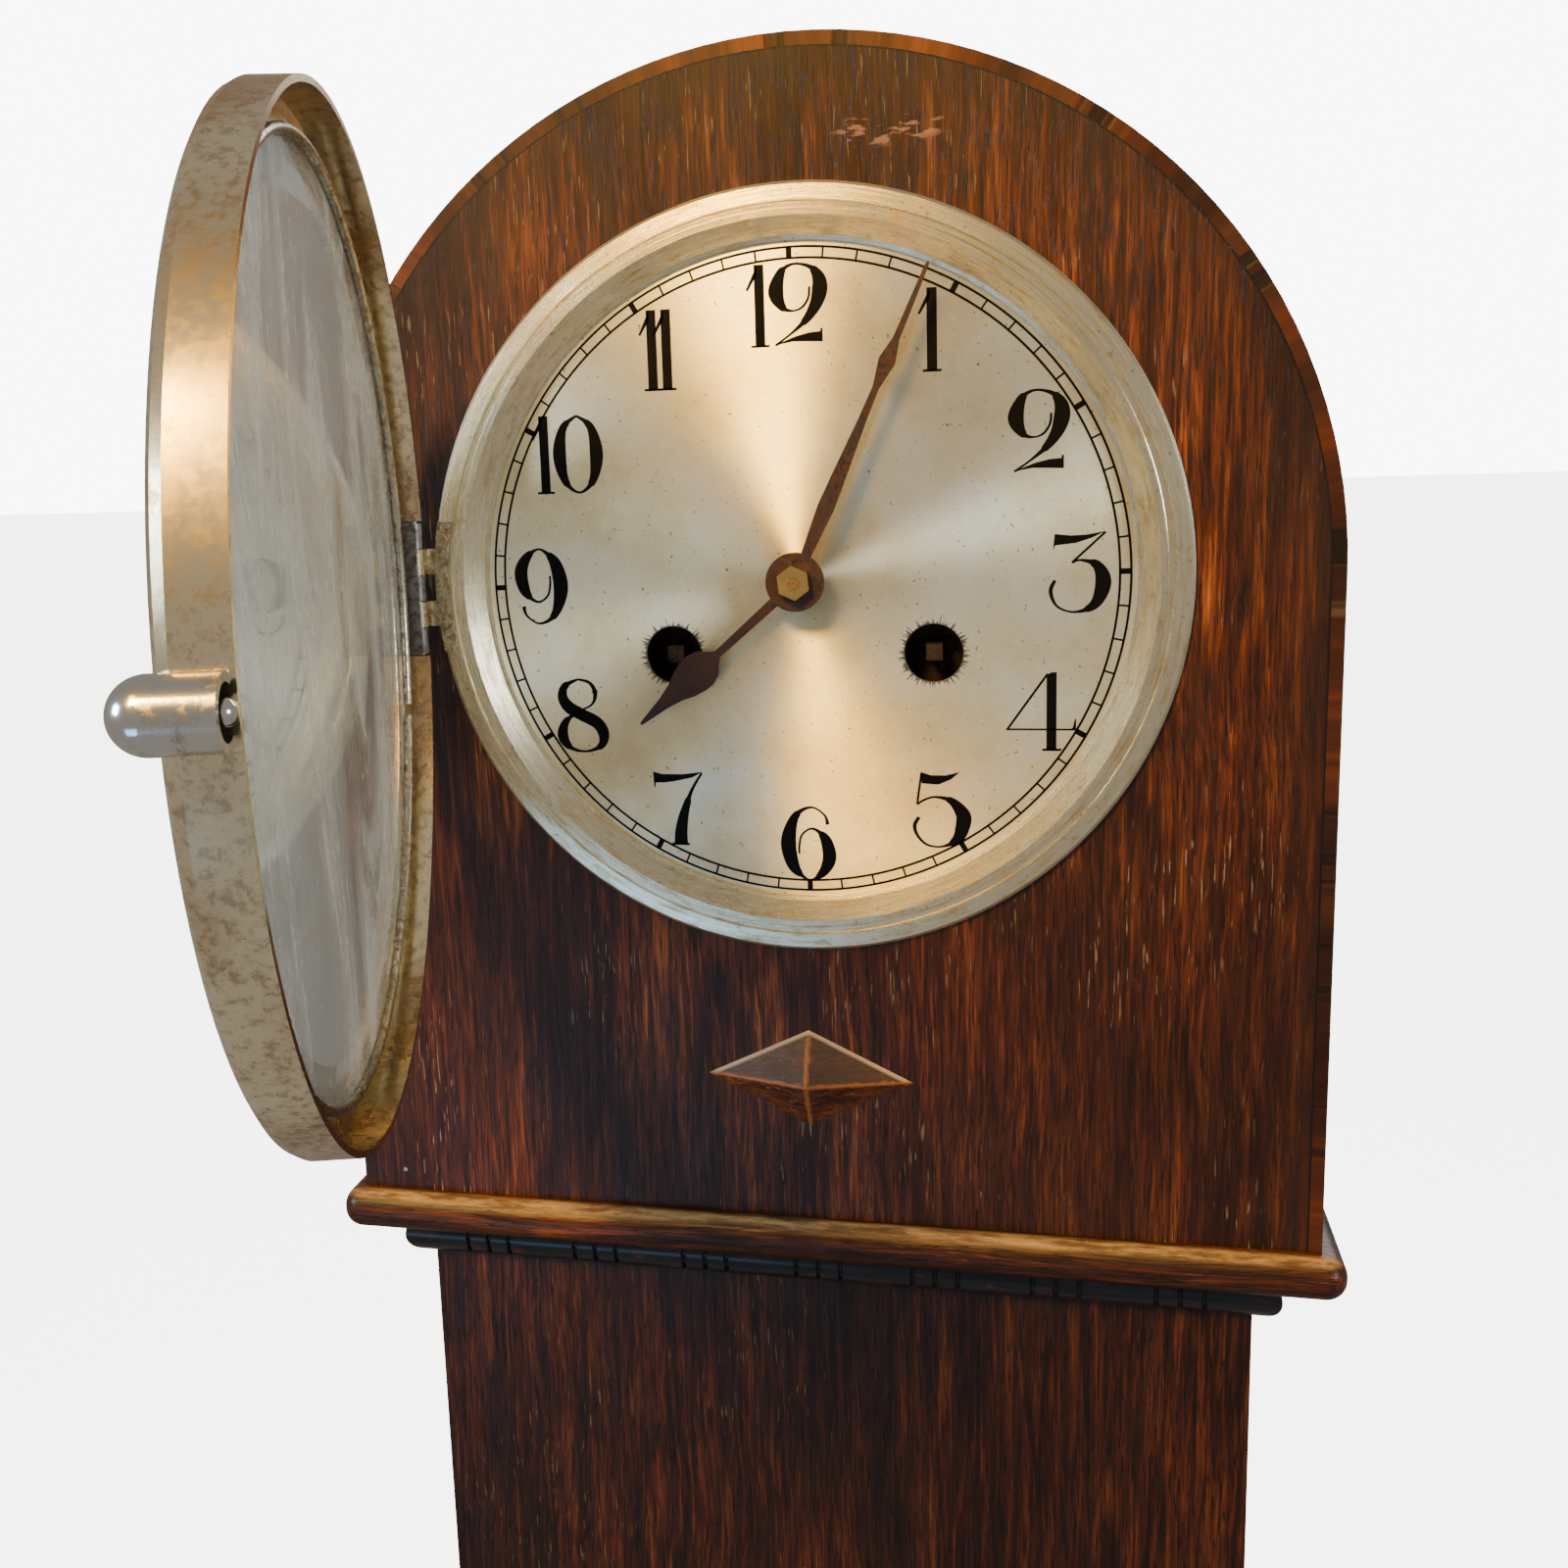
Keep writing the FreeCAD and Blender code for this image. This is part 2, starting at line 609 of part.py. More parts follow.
def trunk():
    half = "trunk_half"
    floor = "base_board"
    rise = f"trunk_top - {floor}"
    panel("trunk_front", "XY_Plane", [(f"-{half}", "trunk_front"), (half, "trunk_front"),
          (half, "trunk_front + board"), (f"-{half}", "trunk_front + board")], rise, z=floor)
    for label, inner, outer in (("trunk_left", "side_board - trunk_half", "-trunk_half"),
                                ("trunk_right", "trunk_half - side_board", "trunk_half")):
        panel(label, "XY_Plane", [(inner, "trunk_front + board"), (outer, "trunk_front + board"),
              (outer, "back"), (inner, "back")], rise, z=floor)
    panel("trunk_back", "XY_Plane", [("side_board - trunk_half", "back - back_board"),
          ("trunk_half - side_board", "back - back_board"), ("trunk_half - side_board", "back"),
          ("side_board - trunk_half", "back")], rise, z=floor)


def plinth_board(length, mitred_ends):
    """A plinth board along X: bevelled along its top, mitred at the given ends, flat back on Y = 0."""
    thick, top, bevel = number("plinth_step"), number("plinth_height - base_board"), number("plinth_chamfer")
    section = [Vector(0, 0, 0), Vector(0, -thick, 0), Vector(0, -thick, top - bevel),
               Vector(0, -thick + bevel, top), Vector(0, 0, top)]
    bar = Part.Face(Part.makePolygon(section + section[:1])).extrude(Vector(length + 2 * thick, 0, 0))
    bar.translate(Vector(-length / 2 - thick, 0, 0))
    return trim(bar, length / 2, thick, -1, top + 1, mitred_ends)


def plinth():
    """Three boards round the foot of the trunk, on the base board."""
    solid("plinth_front", plinth_board(number("2 * trunk_half"), (-1, 1)),
          "0", "trunk_front", "base_board")
    for label, turn, x in (("plinth_left", -90, "-trunk_half"), ("plinth_right", 90, "trunk_half")):
        side = plinth_board(number("back - trunk_front"), (1,) if turn < 0 else (-1,))
        side.rotate(Vector(), Vector(0, 0, 1), turn)
        solid(label, side, x, "(back + trunk_front) / 2", "base_board")
    half = "(trunk_half + plinth_step)"
    panel("base_board", "XY_Plane", [(f"-{half}", "plinth_front"), (half, "plinth_front"),
          (half, "back"), (f"-{half}", "back")], "base_board")


def diamond_ornament():
    """A low four-sided pyramid on a lozenge."""
    half_width, half_height = number("lozenge_width") / 2, number("lozenge_height") / 2
    apex = Vector(0, -number("lozenge_rise"), 0)
    corners = [Vector(-half_width, 0, 0), Vector(0, 0, -half_height), Vector(half_width, 0, 0),
               Vector(0, 0, half_height)]
    faces = [Part.Face(Part.makePolygon(corners + corners[:1]))]
    for first, second in zip(corners, corners[1:] + corners[:1]):
        faces.append(Part.Face(Part.makePolygon([first, second, apex, first])))
    shape = Part.Solid(Part.Shell(faces))
    shape.fix(1e-6, 1e-6, 1e-6)
    solid("diamond_ornament", shape, "0", "hood_front", "dial_height - lozenge_drop")


def seat_board():
    """The shelf inside the hood that carries the movement, drilled for its two screws."""
    body = new_body("seat_board")
    sketch = new_sketch(body, "XY_Plane", "outline")
    half = "(board_radius - joint_gap)"
    box_outline(sketch, f"-{half}", half, "hood_front + board", "train_back + plate_sheet + seat_behind")
    for side in ("-", ""):
        circle(sketch, "seat_screw", f"{side}seat_screw_side", "train_back - seat_screw_inset")
    pad(body, sketch, "board")
    place(body, z="seat_top - board")


# ---------------------------------------------------------------- dial, surround and bezel door

def turned_ring(label, corners):
    """A ring turned about Y, its section given as (radius, y)."""
    body = new_body(label)
    sketch = new_sketch(body, "XY_Plane", "section")
    outline(sketch, corners)
    revolve(body, sketch, "Y_Axis")
    return body


def dial():
    body = new_body("dial")
    sketch = new_sketch(body, "XZ_Plane", "outline")
    circle(sketch, "dial_radius")
    circle(sketch, "hour_pipe + pipe_room")
    for side in ("-", ""):
        circle(sketch, "winding_hole", f"{side}winding_side", "-winding_drop")
    pad(body, sketch, "dial_sheet", reverse=True)
    place(body, y="dial_face", z="dial_height")


def dial_surround():
    """A turned brass ring: flat rim with turned lines, and a wall that slopes in to the dial."""
    body = turned_ring("dial_surround", [
        ("flange_radius", "flange_proud"),
        ("flange_radius", "1"),
        ("flange_radius - 0.8", "0.3"),
        ("flange_radius - 4.6", "0"),
        ("flange_radius - 5.0", "0.7"),
        ("flange_radius - 6.4", "0.7"),
        ("flange_radius - 6.8", "0"),
        ("flange_radius - 8.4", "0"),
        ("surround_bore + 1.2", "dial_recess - 1.2"),
        ("surround_bore", "dial_recess - 0.8"),
        ("surround_bore", "dial_recess"),
        ("surround_hole - 0.3", "dial_recess"),
        ("surround_hole - 0.3", "flange_proud"),
    ])
    place(body, y="surround_face", z="dial_height")


def swing_with_door(item):
    """Put a piece of the bezel door, drawn closed with its hinge pin on Z, where the open door stands."""
    place(item, "-pin_side", "bezel_pin", "dial_height")
    item.setExpression("Placement.Rotation.Axis.x", "0")
    item.setExpression("Placement.Rotation.Axis.y", "0")
    item.setExpression("Placement.Rotation.Axis.z", "1")
    item.setExpression("Placement.Rotation.Angle", formula("-door_angle"))


def door_ring(section):
    """A ring of the bezel door, its section given as (radius, distance ahead of the door's back)."""
    centre = number("pin_side")
    corners = [Vector(centre + number(radius), number(f"bezel_back - ({ahead})"), 0)
               for radius, ahead in section]
    face = Part.Face(Part.makePolygon(corners + corners[:1]))
    return face.revolve(Vector(centre, 0, 0), Vector(0, 1, 0), 360)


def bezel_door():
    """The glazed door: spun ring, bevelled glass, split wire behind it, thumb knob with its catch."""
    depth, wall = "bezel_depth", "bezel_wall"
    ring = door_ring([
        ("bezel_radius", "0"), ("bezel_radius", f"{depth} - 3"), ("bezel_radius - 0.9", f"{depth} - 1.1"),
        ("bezel_radius - 2.6", depth), ("bezel_lip + 1.5", f"{depth} - 0.6"), ("bezel_lip", f"{depth} - 1.4"),
        ("bezel_lip", f"{depth} - 2.2"), (f"bezel_radius - {wall} - 1.4", f"{depth} - 2.2"),
        (f"bezel_radius - {wall}", f"{depth} - 3.4"), (f"bezel_radius - {wall}", "0")])
    half = number("hinge_length") / 2 + 0.6
    reach = number("knuckle_radius") + 1.6
    notch = block((-reach - 2, reach - 0.2), (-reach, number("bezel_back") + 1), (-half, half))
    ring = ring.cut(notch)
    edge = "bezel_lip + glass_seat"
    glass_front = "glass_back + glass_sheet"
    glass = door_ring([("0", "glass_back"), (edge, "glass_back"), (edge, "glass_back + 1"),
                       (f"{edge} - glass_bevel", glass_front), ("0", glass_front)])
    wire = number("ring_wire") / 2
    wire_circle = number(edge) - wire - 0.3
    behind_glass = Vector(number("pin_side"), number("bezel_back - glass_back") + wire + 0.02, 0)
    retainer = Part.makeTorus(wire_circle, wire, behind_glass, Vector(0, 1, 0))
    hinge_side = number("pin_side") - wire_circle
    retainer = retainer.cut(block((hinge_side - 9, hinge_side + 9), (-20, 20), (-33, -30)))
    for label, shape in (("bezel_ring", ring), ("bezel_glass", glass), ("glass_retaining_ring", retainer)):
        swing_with_door(solid(label, shape))
    swing_with_door(solid("bezel_knob", knob_shape()))


def knob_shape():
    """A domed thumb knob on the rim, hollow behind, with the catch pin inside it."""
    radius = number("knob_radius")
    middle = number("pin_side + bezel_radius") + radius * 0.42
    back = number("bezel_back") - 1.0
    front = number("bezel_back - bezel_depth") + 0.6
    body = rod(radius, front, back, middle).fuse(Part.makeSphere(radius, Vector(middle, front, 0)))
    body = body.cut(rod(radius - 1.5, back - 8, back + 1, middle))
    ball = Part.makeSphere(2.2, Vector(middle, back - 0.4, 0))
    pin = fuse([rod(1.9, back - 8.2, back - 0.6, middle), ball])
    ring_space = rod(number("bezel_radius") + 0.02, front - radius - 1, back + 3, number("pin_side"))
    return body.cut(ring_space).fuse(pin).removeSplitter()


def bezel_hinge():
    """Five knuckles: the door's three turn on the pin of the surround's two, whose leaf is riveted on."""
    knuckle, pin, fit = number("knuckle_radius"), number("pin_radius"), number("running_fit")
    length, gap = number("hinge_length"), 0.12
    step = length / 5
    spans = [(-length / 2 + i * step + gap, -length / 2 + (i + 1) * step - gap) for i in range(5)]
    face = number("pin_ahead")
    rim = number("flange_radius")
    bore = upright(pin + fit, -length, length)
    sheet_metal = 0.8

    to_centre = number("pin_side")
    arc_ring = rod(rim - 0.3, face - sheet_metal, face, to_centre)
    arc_ring = arc_ring.cut(rod(rim - 4.4, face - 2, face + 1, to_centre))
    leaf = arc_ring.common(block((0, 30), (face - sheet_metal, face), (-length / 2, length / 2)))
    arms = [block((0, 6.5), (face - sheet_metal, face), spans[i]) for i in (1, 3)]
    barrels = [upright(knuckle, *spans[i]) for i in (1, 3)]
    rivet_at = to_centre - math.sqrt((rim - 2.4)**2 - (length * 0.36)**2)
    rivets = [rod(size, face - sheet_metal - 0.7, face - sheet_metal, rivet_at, side * length * 0.36)
              for side, size in ((1, 1.7), (-1, 1.2))]
    axle = upright(pin, -length / 2 - 0.4, length / 2 + 0.4)
    fixed = fuse([leaf, *arms, *barrels, *rivets, axle])

    wing_inner = knuckle + 0.35
    wing = block((wing_inner, wing_inner + sheet_metal), (number("bezel_back - bezel_depth") + 3.6, 0.6),
                 (-length / 2, length / 2))
    links = [block((0, wing_inner + sheet_metal), (-0.6, 0.2), spans[i]) for i in (0, 2, 4)]
    door_barrels = [upright(knuckle, *spans[i]) for i in (0, 2, 4)]
    moving = fuse([wing, *links, *door_barrels]).cut(bore)
    ring_inner = rod(number("bezel_radius - bezel_wall") - 0.02, -20, 10, to_centre)
    at_pin = block((-knuckle - 1, wing_inner + 2), (-knuckle - 0.4, knuckle + 1), (-length, length))
    inside_ring = moving.common(ring_inner.fuse(at_pin))

    at = {"x": "-pin_side", "y": "bezel_pin", "z": "dial_height"}
    solid("bezel_hinge_fixed_leaf", fixed, **at)
    swing_with_door(solid("bezel_hinge_door_leaf", inside_ring))


# ---------------------------------------------------------------- hands

def hand_place(item, lift, angle):
    """Stand a hand, drawn pointing at twelve with its back on Y = 0, at its lift and angle."""
    place(item, "0", f"dial_face - {lift}", "dial_height")
    for axis, share in (("x", 0), ("y", 1), ("z", 0)):
        item.setExpression(f"Placement.Rotation.Axis.{axis}", str(share))
    item.setExpression("Placement.Rotation.Angle", formula(angle))


# Each hand's outline: share of its length, half its width there.
MINUTE_OUTLINE = [(0.08, 1.3), (0.24, 2.2), (0.33, 1.9), (0.52, 1.05), (0.62, 0.85), (0.70, 2.2),
                  (0.77, 0.85), (0.88, 0.7), (0.99, 0.45), (1.0, 0.2)]
HOUR_OUTLINE = [(0.1, 1.4), (0.5, 1.05), (0.527, 2.2), (0.565, 4.4), (0.61, 5.25), (0.65, 5.2), (0.71, 4.4),
                (0.77, 2.9), (0.85, 1.7), (0.91, 1.2), (0.99, 0.5), (1.0, 0.2)]


def blade(half_widths, length, thickness):
    """A flat hand of the given outline."""
    right = [(half, share * length) for share, half in half_widths]
    left = [(-half, share * length) for share, half in reversed(half_widths)]
    return slab(right + left, -thickness, 0)


def hands():
    """Blued steel hands, the minute hand with a small lozenge and the hour hand with a drop-shaped head."""
    sheet_metal, boss, fit = number("hand_sheet"), number("hand_boss"), number("running_fit")
    minute = blade(MINUTE_OUTLINE, number("minute_length"), sheet_metal)
    bore = rod(number("cannon_bore") + fit, -2, 1)
    minute = minute.fuse(rod(boss, -sheet_metal, 0)).cut(bore).removeSplitter()
    hand_place(solid("minute_hand", minute), "minute_lift", "minute_angle")

    hour = blade(HOUR_OUTLINE, number("hour_length"), sheet_metal)
    hour = hour.fuse(rod(boss - 0.8, -sheet_metal, 0)).cut(rod(number("hour_pipe"), -2, 1)).removeSplitter()
    hand_place(solid("hour_hand", hour), "hour_lift", "hour_angle")

    across = 4.6
    corners = [polar(across, math.pi / 3 * i) for i in range(6)]
    height = number("nut_height")
    nut = slab(corners, -height, 0).cut(rod(number("centre_arbor") + fit, -height - 1, 1))
    hand_place(solid("hand_nut", nut), "minute_lift - hand_sheet", "minute_angle")


# ---------------------------------------------------------------- movement: plates and centres

def movement_centres():
    """Arbor centres as (x, z) about the dial centre; meshing pairs stand at the sum of their pitch radii."""
    side, drop = number("winding_side"), number("winding_drop")
    centres = {"centre": (0.0, 0.0), "going_barrel": (side, -drop), "strike_barrel": (-side, -drop)}
    great = sum(GREAT_TEETH) * barrel_module() / 2
    second = sum(SECOND_TEETH) * SECOND_MODULE / 2
    centres["second"] = meet(centres["going_barrel"], great, centres["centre"], second, -1)
    centres["pin_wheel"] = (-centres["second"][0], centres["second"][1])
    centres["third"] = (0.0, sum(CENTRE_TEETH) * CENTRE_MODULE / 2)
    centres["escape"] = (0.0, centres["third"][1] + sum(THIRD_TEETH) * THIRD_MODULE / 2)
    centres["pallets"] = (0.0, centres["escape"][1] + number("pallet_rise"))
    centres["strike_third"] = beside(centres["pin_wheel"], sum(STRIKE_TEETH) * SECOND_MODULE / 2, 120)
    centres["fly"] = beside(centres["strike_third"], sum(FLY_TEETH) * FLY_MODULE / 2, 50.4)
    centres["minute_wheel"] = beside(centres["centre"], sum(CANNON_TEETH) * CANNON_MODULE / 2, 45)
    centres["hammer"] = (-side - HAMMER_BESIDE_BARREL, HAMMER_RISE)
    return centres


def barrel_module():
    """Module of the great wheels, whose teeth reach the great radius."""
    return number("great_radius") / (GREAT_TEETH[0] / 2 + WHEEL_ADDENDUM)


def beside(spot, distance, degrees):
    """The point at a distance from a spot, the angle counted from +X towards +Z."""
    dx, dz = polar(distance, math.radians(degrees))
    return spot[0] + dx, spot[1] + dz


def at_movement(x=0.0, z=0.0):
    return {"x": str(x), "y": "train_front", "z": f"dial_height + {z}"}


def plates(centres):
    """Front and back plates with their pivot holes, four pillars, and the nuts that hold the plates."""
    half, low = number("plate_half_width"), -number("seat_drop")
    top = centres["pallets"][1] + number("plate_head")
    corners_in = [(side * (half - PILLAR_INSET[0]), level) for side in (-1, 1)
                  for level in (low + PILLAR_INSET[1], top - PILLAR_INSET[1])]
    sheet_metal, gap, fit = number("plate_sheet"), number("plate_gap"), number("running_fit")
    outline_points = [(-half, low), (half, low), (half, top), (-half, top)]
    pivots = ["second", "third", "escape", "pin_wheel", "strike_third", "fly"]
    holes = [(PIVOT + fit, centres[name]) for name in pivots]
    holes += [(3.5 + fit, centres[name]) for name in ("going_barrel", "strike_barrel")]
    holes.append((2.4 + fit, centres["centre"]))
    front_holes = holes + [(1.5 + fit, centres["hammer"]), (PIVOT + fit, centres["pallets"])]
    back_holes = holes + [(1.5 + fit, centres["hammer"]), (1.6 + fit, centres["pallets"])]
    for label, start, drilled in (("front_plate", -sheet_metal, front_holes),
                                  ("back_plate", gap, back_holes)):
        plate = slab(outline_points, start, start + sheet_metal)
        if label == "front_plate":
            post = centres["minute_wheel"]
            head = start - 9.6
            plate = plate.fuse([rod(1.0, head, start, *post), rod(1.9, head, head + 0.9, *post)])
        tools = [rod(radius, start - 1, start + sheet_metal + 1, *spot) for radius, spot in drilled]
        tools += [rod(PILLAR_THREAD, start - 1, start + sheet_metal + 1, *spot) for spot in corners_in]
        solid(label, plate.cut(Part.makeCompound(tools)), **at_movement())
    threads = [rod(PILLAR_THREAD, -sheet_metal - 4, gap + sheet_metal + 4, *spot) for spot in corners_in]
    pillars = [fuse([rod(PILLAR_RADIUS, 0, gap, *spot), thread]) for spot, thread in zip(corners_in, threads)]
    solid("plate_pillars", Part.makeCompound(pillars), **at_movement())
    nuts = []
    for x, z in corners_in:
        corners = [(x + dx, z + dz) for dx, dz in (polar(4.2, math.pi / 3 * i) for i in range(6))]
        for start in (-sheet_metal - 3, gap + sheet_metal):
            nuts.append(slab(corners, start, start + 3).cut(rod(PILLAR_THREAD, start - 1, start + 4, x, z)))
    solid("plate_nuts", Part.makeCompound(nuts), **at_movement())
    lugs = []
    shank, screw_y = number("seat_screw"), gap - number("seat_screw_inset")
    for x in (-number("seat_screw_side"), number("seat_screw_side")):
        foot = block((x - 7, x + 7), (screw_y - 4, gap), (low, low + 2))
        back = block((x - 7, x + 7), (gap - 2, gap), (low, low + 14))
        screw = upright(shank, low - 10, low + 2, x, screw_y)
        head = upright(1.7 * shank, low + 2, low + 4, x, screw_y)
        lugs.append(fuse([foot, back, screw, head]))
    solid("seat_brackets", Part.makeCompound(lugs), **at_movement())


# ---------------------------------------------------------------- movement: barrels and winding

def barrels(centres):
    """Spring barrels with their great wheels, their winding arbors with ratchets, and the clicks."""
    fit, gap, sheet_metal = number("running_fit"), number("plate_gap"), number("plate_sheet")
    square_end = 1.0 - sheet_metal - number("motion_room")
    great_level = gap - GREAT_BEHIND
    drum_radius = number("great_radius - drum_room")
    phases = {}
    clicks = []
    for label, other, mirror in (("going", "second", 1), ("strike", "pin_wheel", -1)):
        centre = centres[f"{label}_barrel"]
        phases[label] = direction(centre, centres[other])
        drum = rod(drum_radius, DRUM_FRONT, great_level)
        drum = drum.cut(rod(drum_radius - 1, DRUM_FRONT + 1, great_level - 1))
        wheel = gear(GREAT_TEETH[0], barrel_module(), great_level, great_level + 2.5, phases[label])
        barrel = drum.fuse([wheel, rod(5.5, DRUM_FRONT - 1.5, great_level + 4)])
        barrel = barrel.cut(rod(4.0 + fit, 0, gap)).removeSplitter()
        solid(f"{label}_barrel", barrel, **at_movement(*centre))
        points = []
        for tooth in range(RATCHET_TEETH):
            angle = mirror * math.tau * tooth / RATCHET_TEETH
            points += [polar(9.6, angle), polar(11.0, angle + mirror * 0.01)]
        if mirror < 0:
            points.reverse()
        ratchet = slab(points, -sheet_metal - 2.2, -sheet_metal - 0.6)
        square = block((-2.2, 2.2), (square_end, -sheet_metal - 2.0), (-2.2, 2.2))
        shaft = rod(3.5, -sheet_metal - 0.8, gap + sheet_metal + 1)
        arbor = fuse([shaft, rod(4.0, 2, gap - 2), ratchet, square])
        solid(f"{label}_winding_arbor", arbor, **at_movement(*centre))
        nose = polar(11.15, math.radians(90 - mirror * 20))
        pivot = polar(18.0, math.radians(90 - mirror * 48))
        along = (nose[0] - pivot[0], nose[1] - pivot[1])
        length = math.hypot(*along)
        side = (-along[1] / length * 1.6, along[0] / length * 1.6)
        corners = [(pivot[0] - side[0], pivot[1] - side[1]), (pivot[0] + side[0], pivot[1] + side[1]),
                   (nose[0] + side[0] * 0.2, nose[1] + side[1] * 0.2), nose]
        outward = polar(0.35, math.atan2(nose[1], nose[0]))
        corners = [(x + outward[0], z + outward[1]) for x, z in corners]
        pawl = slab(corners, -sheet_metal - 2.0, -sheet_metal).fuse(
            [rod(2.6, -sheet_metal - 2.6, -sheet_metal, *pivot)]).removeSplitter()
        pawl.translate(Vector(centre[0], 0, centre[1]))
        clicks.append(pawl)
    solid("ratchet_clicks", Part.makeCompound(clicks), **at_movement())
    return phases


def wheel_on_arbor(label, centre, arbor, parts):
    """A wheel and pinion on one arbor: parts are the toothed shapes, arbor a list of (radius, start, end)."""
    shape = fuse([rod(*step) for step in arbor] + parts)
    return solid(label, shape, **at_movement(*centre))


def pivoted(radius, gap, sheet_metal):
    """An arbor between the plates with a pivot through each."""
    return [(radius, 0.3, gap - 0.3), (PIVOT, -sheet_metal, gap + sheet_metal)]


def trains(centres, phases):
    """Going train, from barrel to escape wheel, and strike train, from barrel to fly."""
    gap, sheet_metal = number("plate_gap"), number("plate_sheet")
    low_pinion = (gap - GREAT_BEHIND - 2, gap - 2)

    along = direction(centres["going_barrel"], centres["second"])
    pinion_phase = mesh_phase(GREAT_TEETH[0], phases["going"], GREAT_TEETH[1], along)
    to_centre = direction(centres["second"], centres["centre"])
    wheel_on_arbor("second_wheel", centres["second"], pivoted(1.6, gap, sheet_metal), [
        pinion(GREAT_TEETH, barrel_module(), low_pinion, pinion_phase),
        gear(SECOND_TEETH[0], SECOND_MODULE, 6, 7.5, to_centre)])

    up = math.pi / 2
    centre_phase = mesh_phase(SECOND_TEETH[0], to_centre, SECOND_TEETH[1], to_centre)
    wheel_on_arbor("centre_wheel", centres["centre"], [(2.4, -sheet_metal, gap + sheet_metal),
                   (number("centre_arbor"), number("dial_face - arbor_reach - train_front"), 1)], [
        pinion(SECOND_TEETH, SECOND_MODULE, (4.8, 9), centre_phase),
        gear(CENTRE_TEETH[0], CENTRE_MODULE, 2.6, 4.0, up)])

    wheel_on_arbor("third_wheel", centres["third"], pivoted(1.2, gap, sheet_metal), [
        pinion(CENTRE_TEETH, CENTRE_MODULE, (1.6, 6), mesh_phase(CENTRE_TEETH[0], up, CENTRE_TEETH[1], up)),
        gear(THIRD_TEETH[0], THIRD_MODULE, 20, 21.4, up)])

    wheel_on_arbor("escape_wheel", centres["escape"], pivoted(1.0, gap, sheet_metal), [
        pinion(THIRD_TEETH, THIRD_MODULE, (18, 23), mesh_phase(THIRD_TEETH[0], up, THIRD_TEETH[1], up)),
        escape_teeth(30, 31.2)])

    along = direction(centres["strike_barrel"], centres["pin_wheel"])
    pinion_phase = mesh_phase(GREAT_TEETH[0], phases["strike"], GREAT_TEETH[1], along)
    line = direction(centres["pin_wheel"], centres["strike_third"])
    pins = [rod(STRIKE_PIN_RADIUS, 7.0, 10, *polar(STRIKE_PIN_CIRCLE, math.tau * i / STRIKE_PINS + 0.2))
            for i in range(STRIKE_PINS)]
    wheel_on_arbor("strike_pin_wheel", centres["pin_wheel"], pivoted(1.6, gap, sheet_metal), [
        pinion(GREAT_TEETH, barrel_module(), low_pinion, pinion_phase),
        gear(STRIKE_TEETH[0], SECOND_MODULE, 9.5, 11, line), *pins])

    fly_line = direction(centres["strike_third"], centres["fly"])
    pinion_phase = mesh_phase(STRIKE_TEETH[0], line, STRIKE_TEETH[1], line)
    wheel_on_arbor("strike_third_wheel", centres["strike_third"], pivoted(1.2, gap, sheet_metal), [
        pinion(STRIKE_TEETH, SECOND_MODULE, (8, 13), pinion_phase),
        gear(FLY_TEETH[0], FLY_MODULE, 26, 27.4, fly_line)])

    wheel_on_arbor("fly", centres["fly"], pivoted(0.95, gap, sheet_metal) + [(1.8, 5, 20)], [
        pinion(FLY_TEETH, FLY_MODULE, (24, 29), mesh_phase(FLY_TEETH[0], fly_line, FLY_TEETH[1], fly_line)),
        block((-8.5, 8.5), (5, 20), (-0.4, 0.4))])


def pinion(teeth, module, span, phase):
    """The pinion of a meshing pair."""
    return gear(teeth[1], module, *span, phase, PINION_ADDENDUM)


def escape_teeth(start, end):
    """The escape wheel: pointed teeth, turned a quarter step so that both pallets meet gaps."""
    step = math.tau / ESCAPE_TEETH
    points = []
    for tooth in range(ESCAPE_TEETH):
        tip = math.pi / 2 + (tooth + 0.5) * step
        points += [polar(ESCAPE_RADIUS - 2.2, tip - step * 0.28), polar(ESCAPE_RADIUS, tip - step * 0.05),
                   polar(ESCAPE_RADIUS, tip + step * 0.05), polar(ESCAPE_RADIUS - 2.2, tip + step * 0.28)]
    return slab(points, start, end)


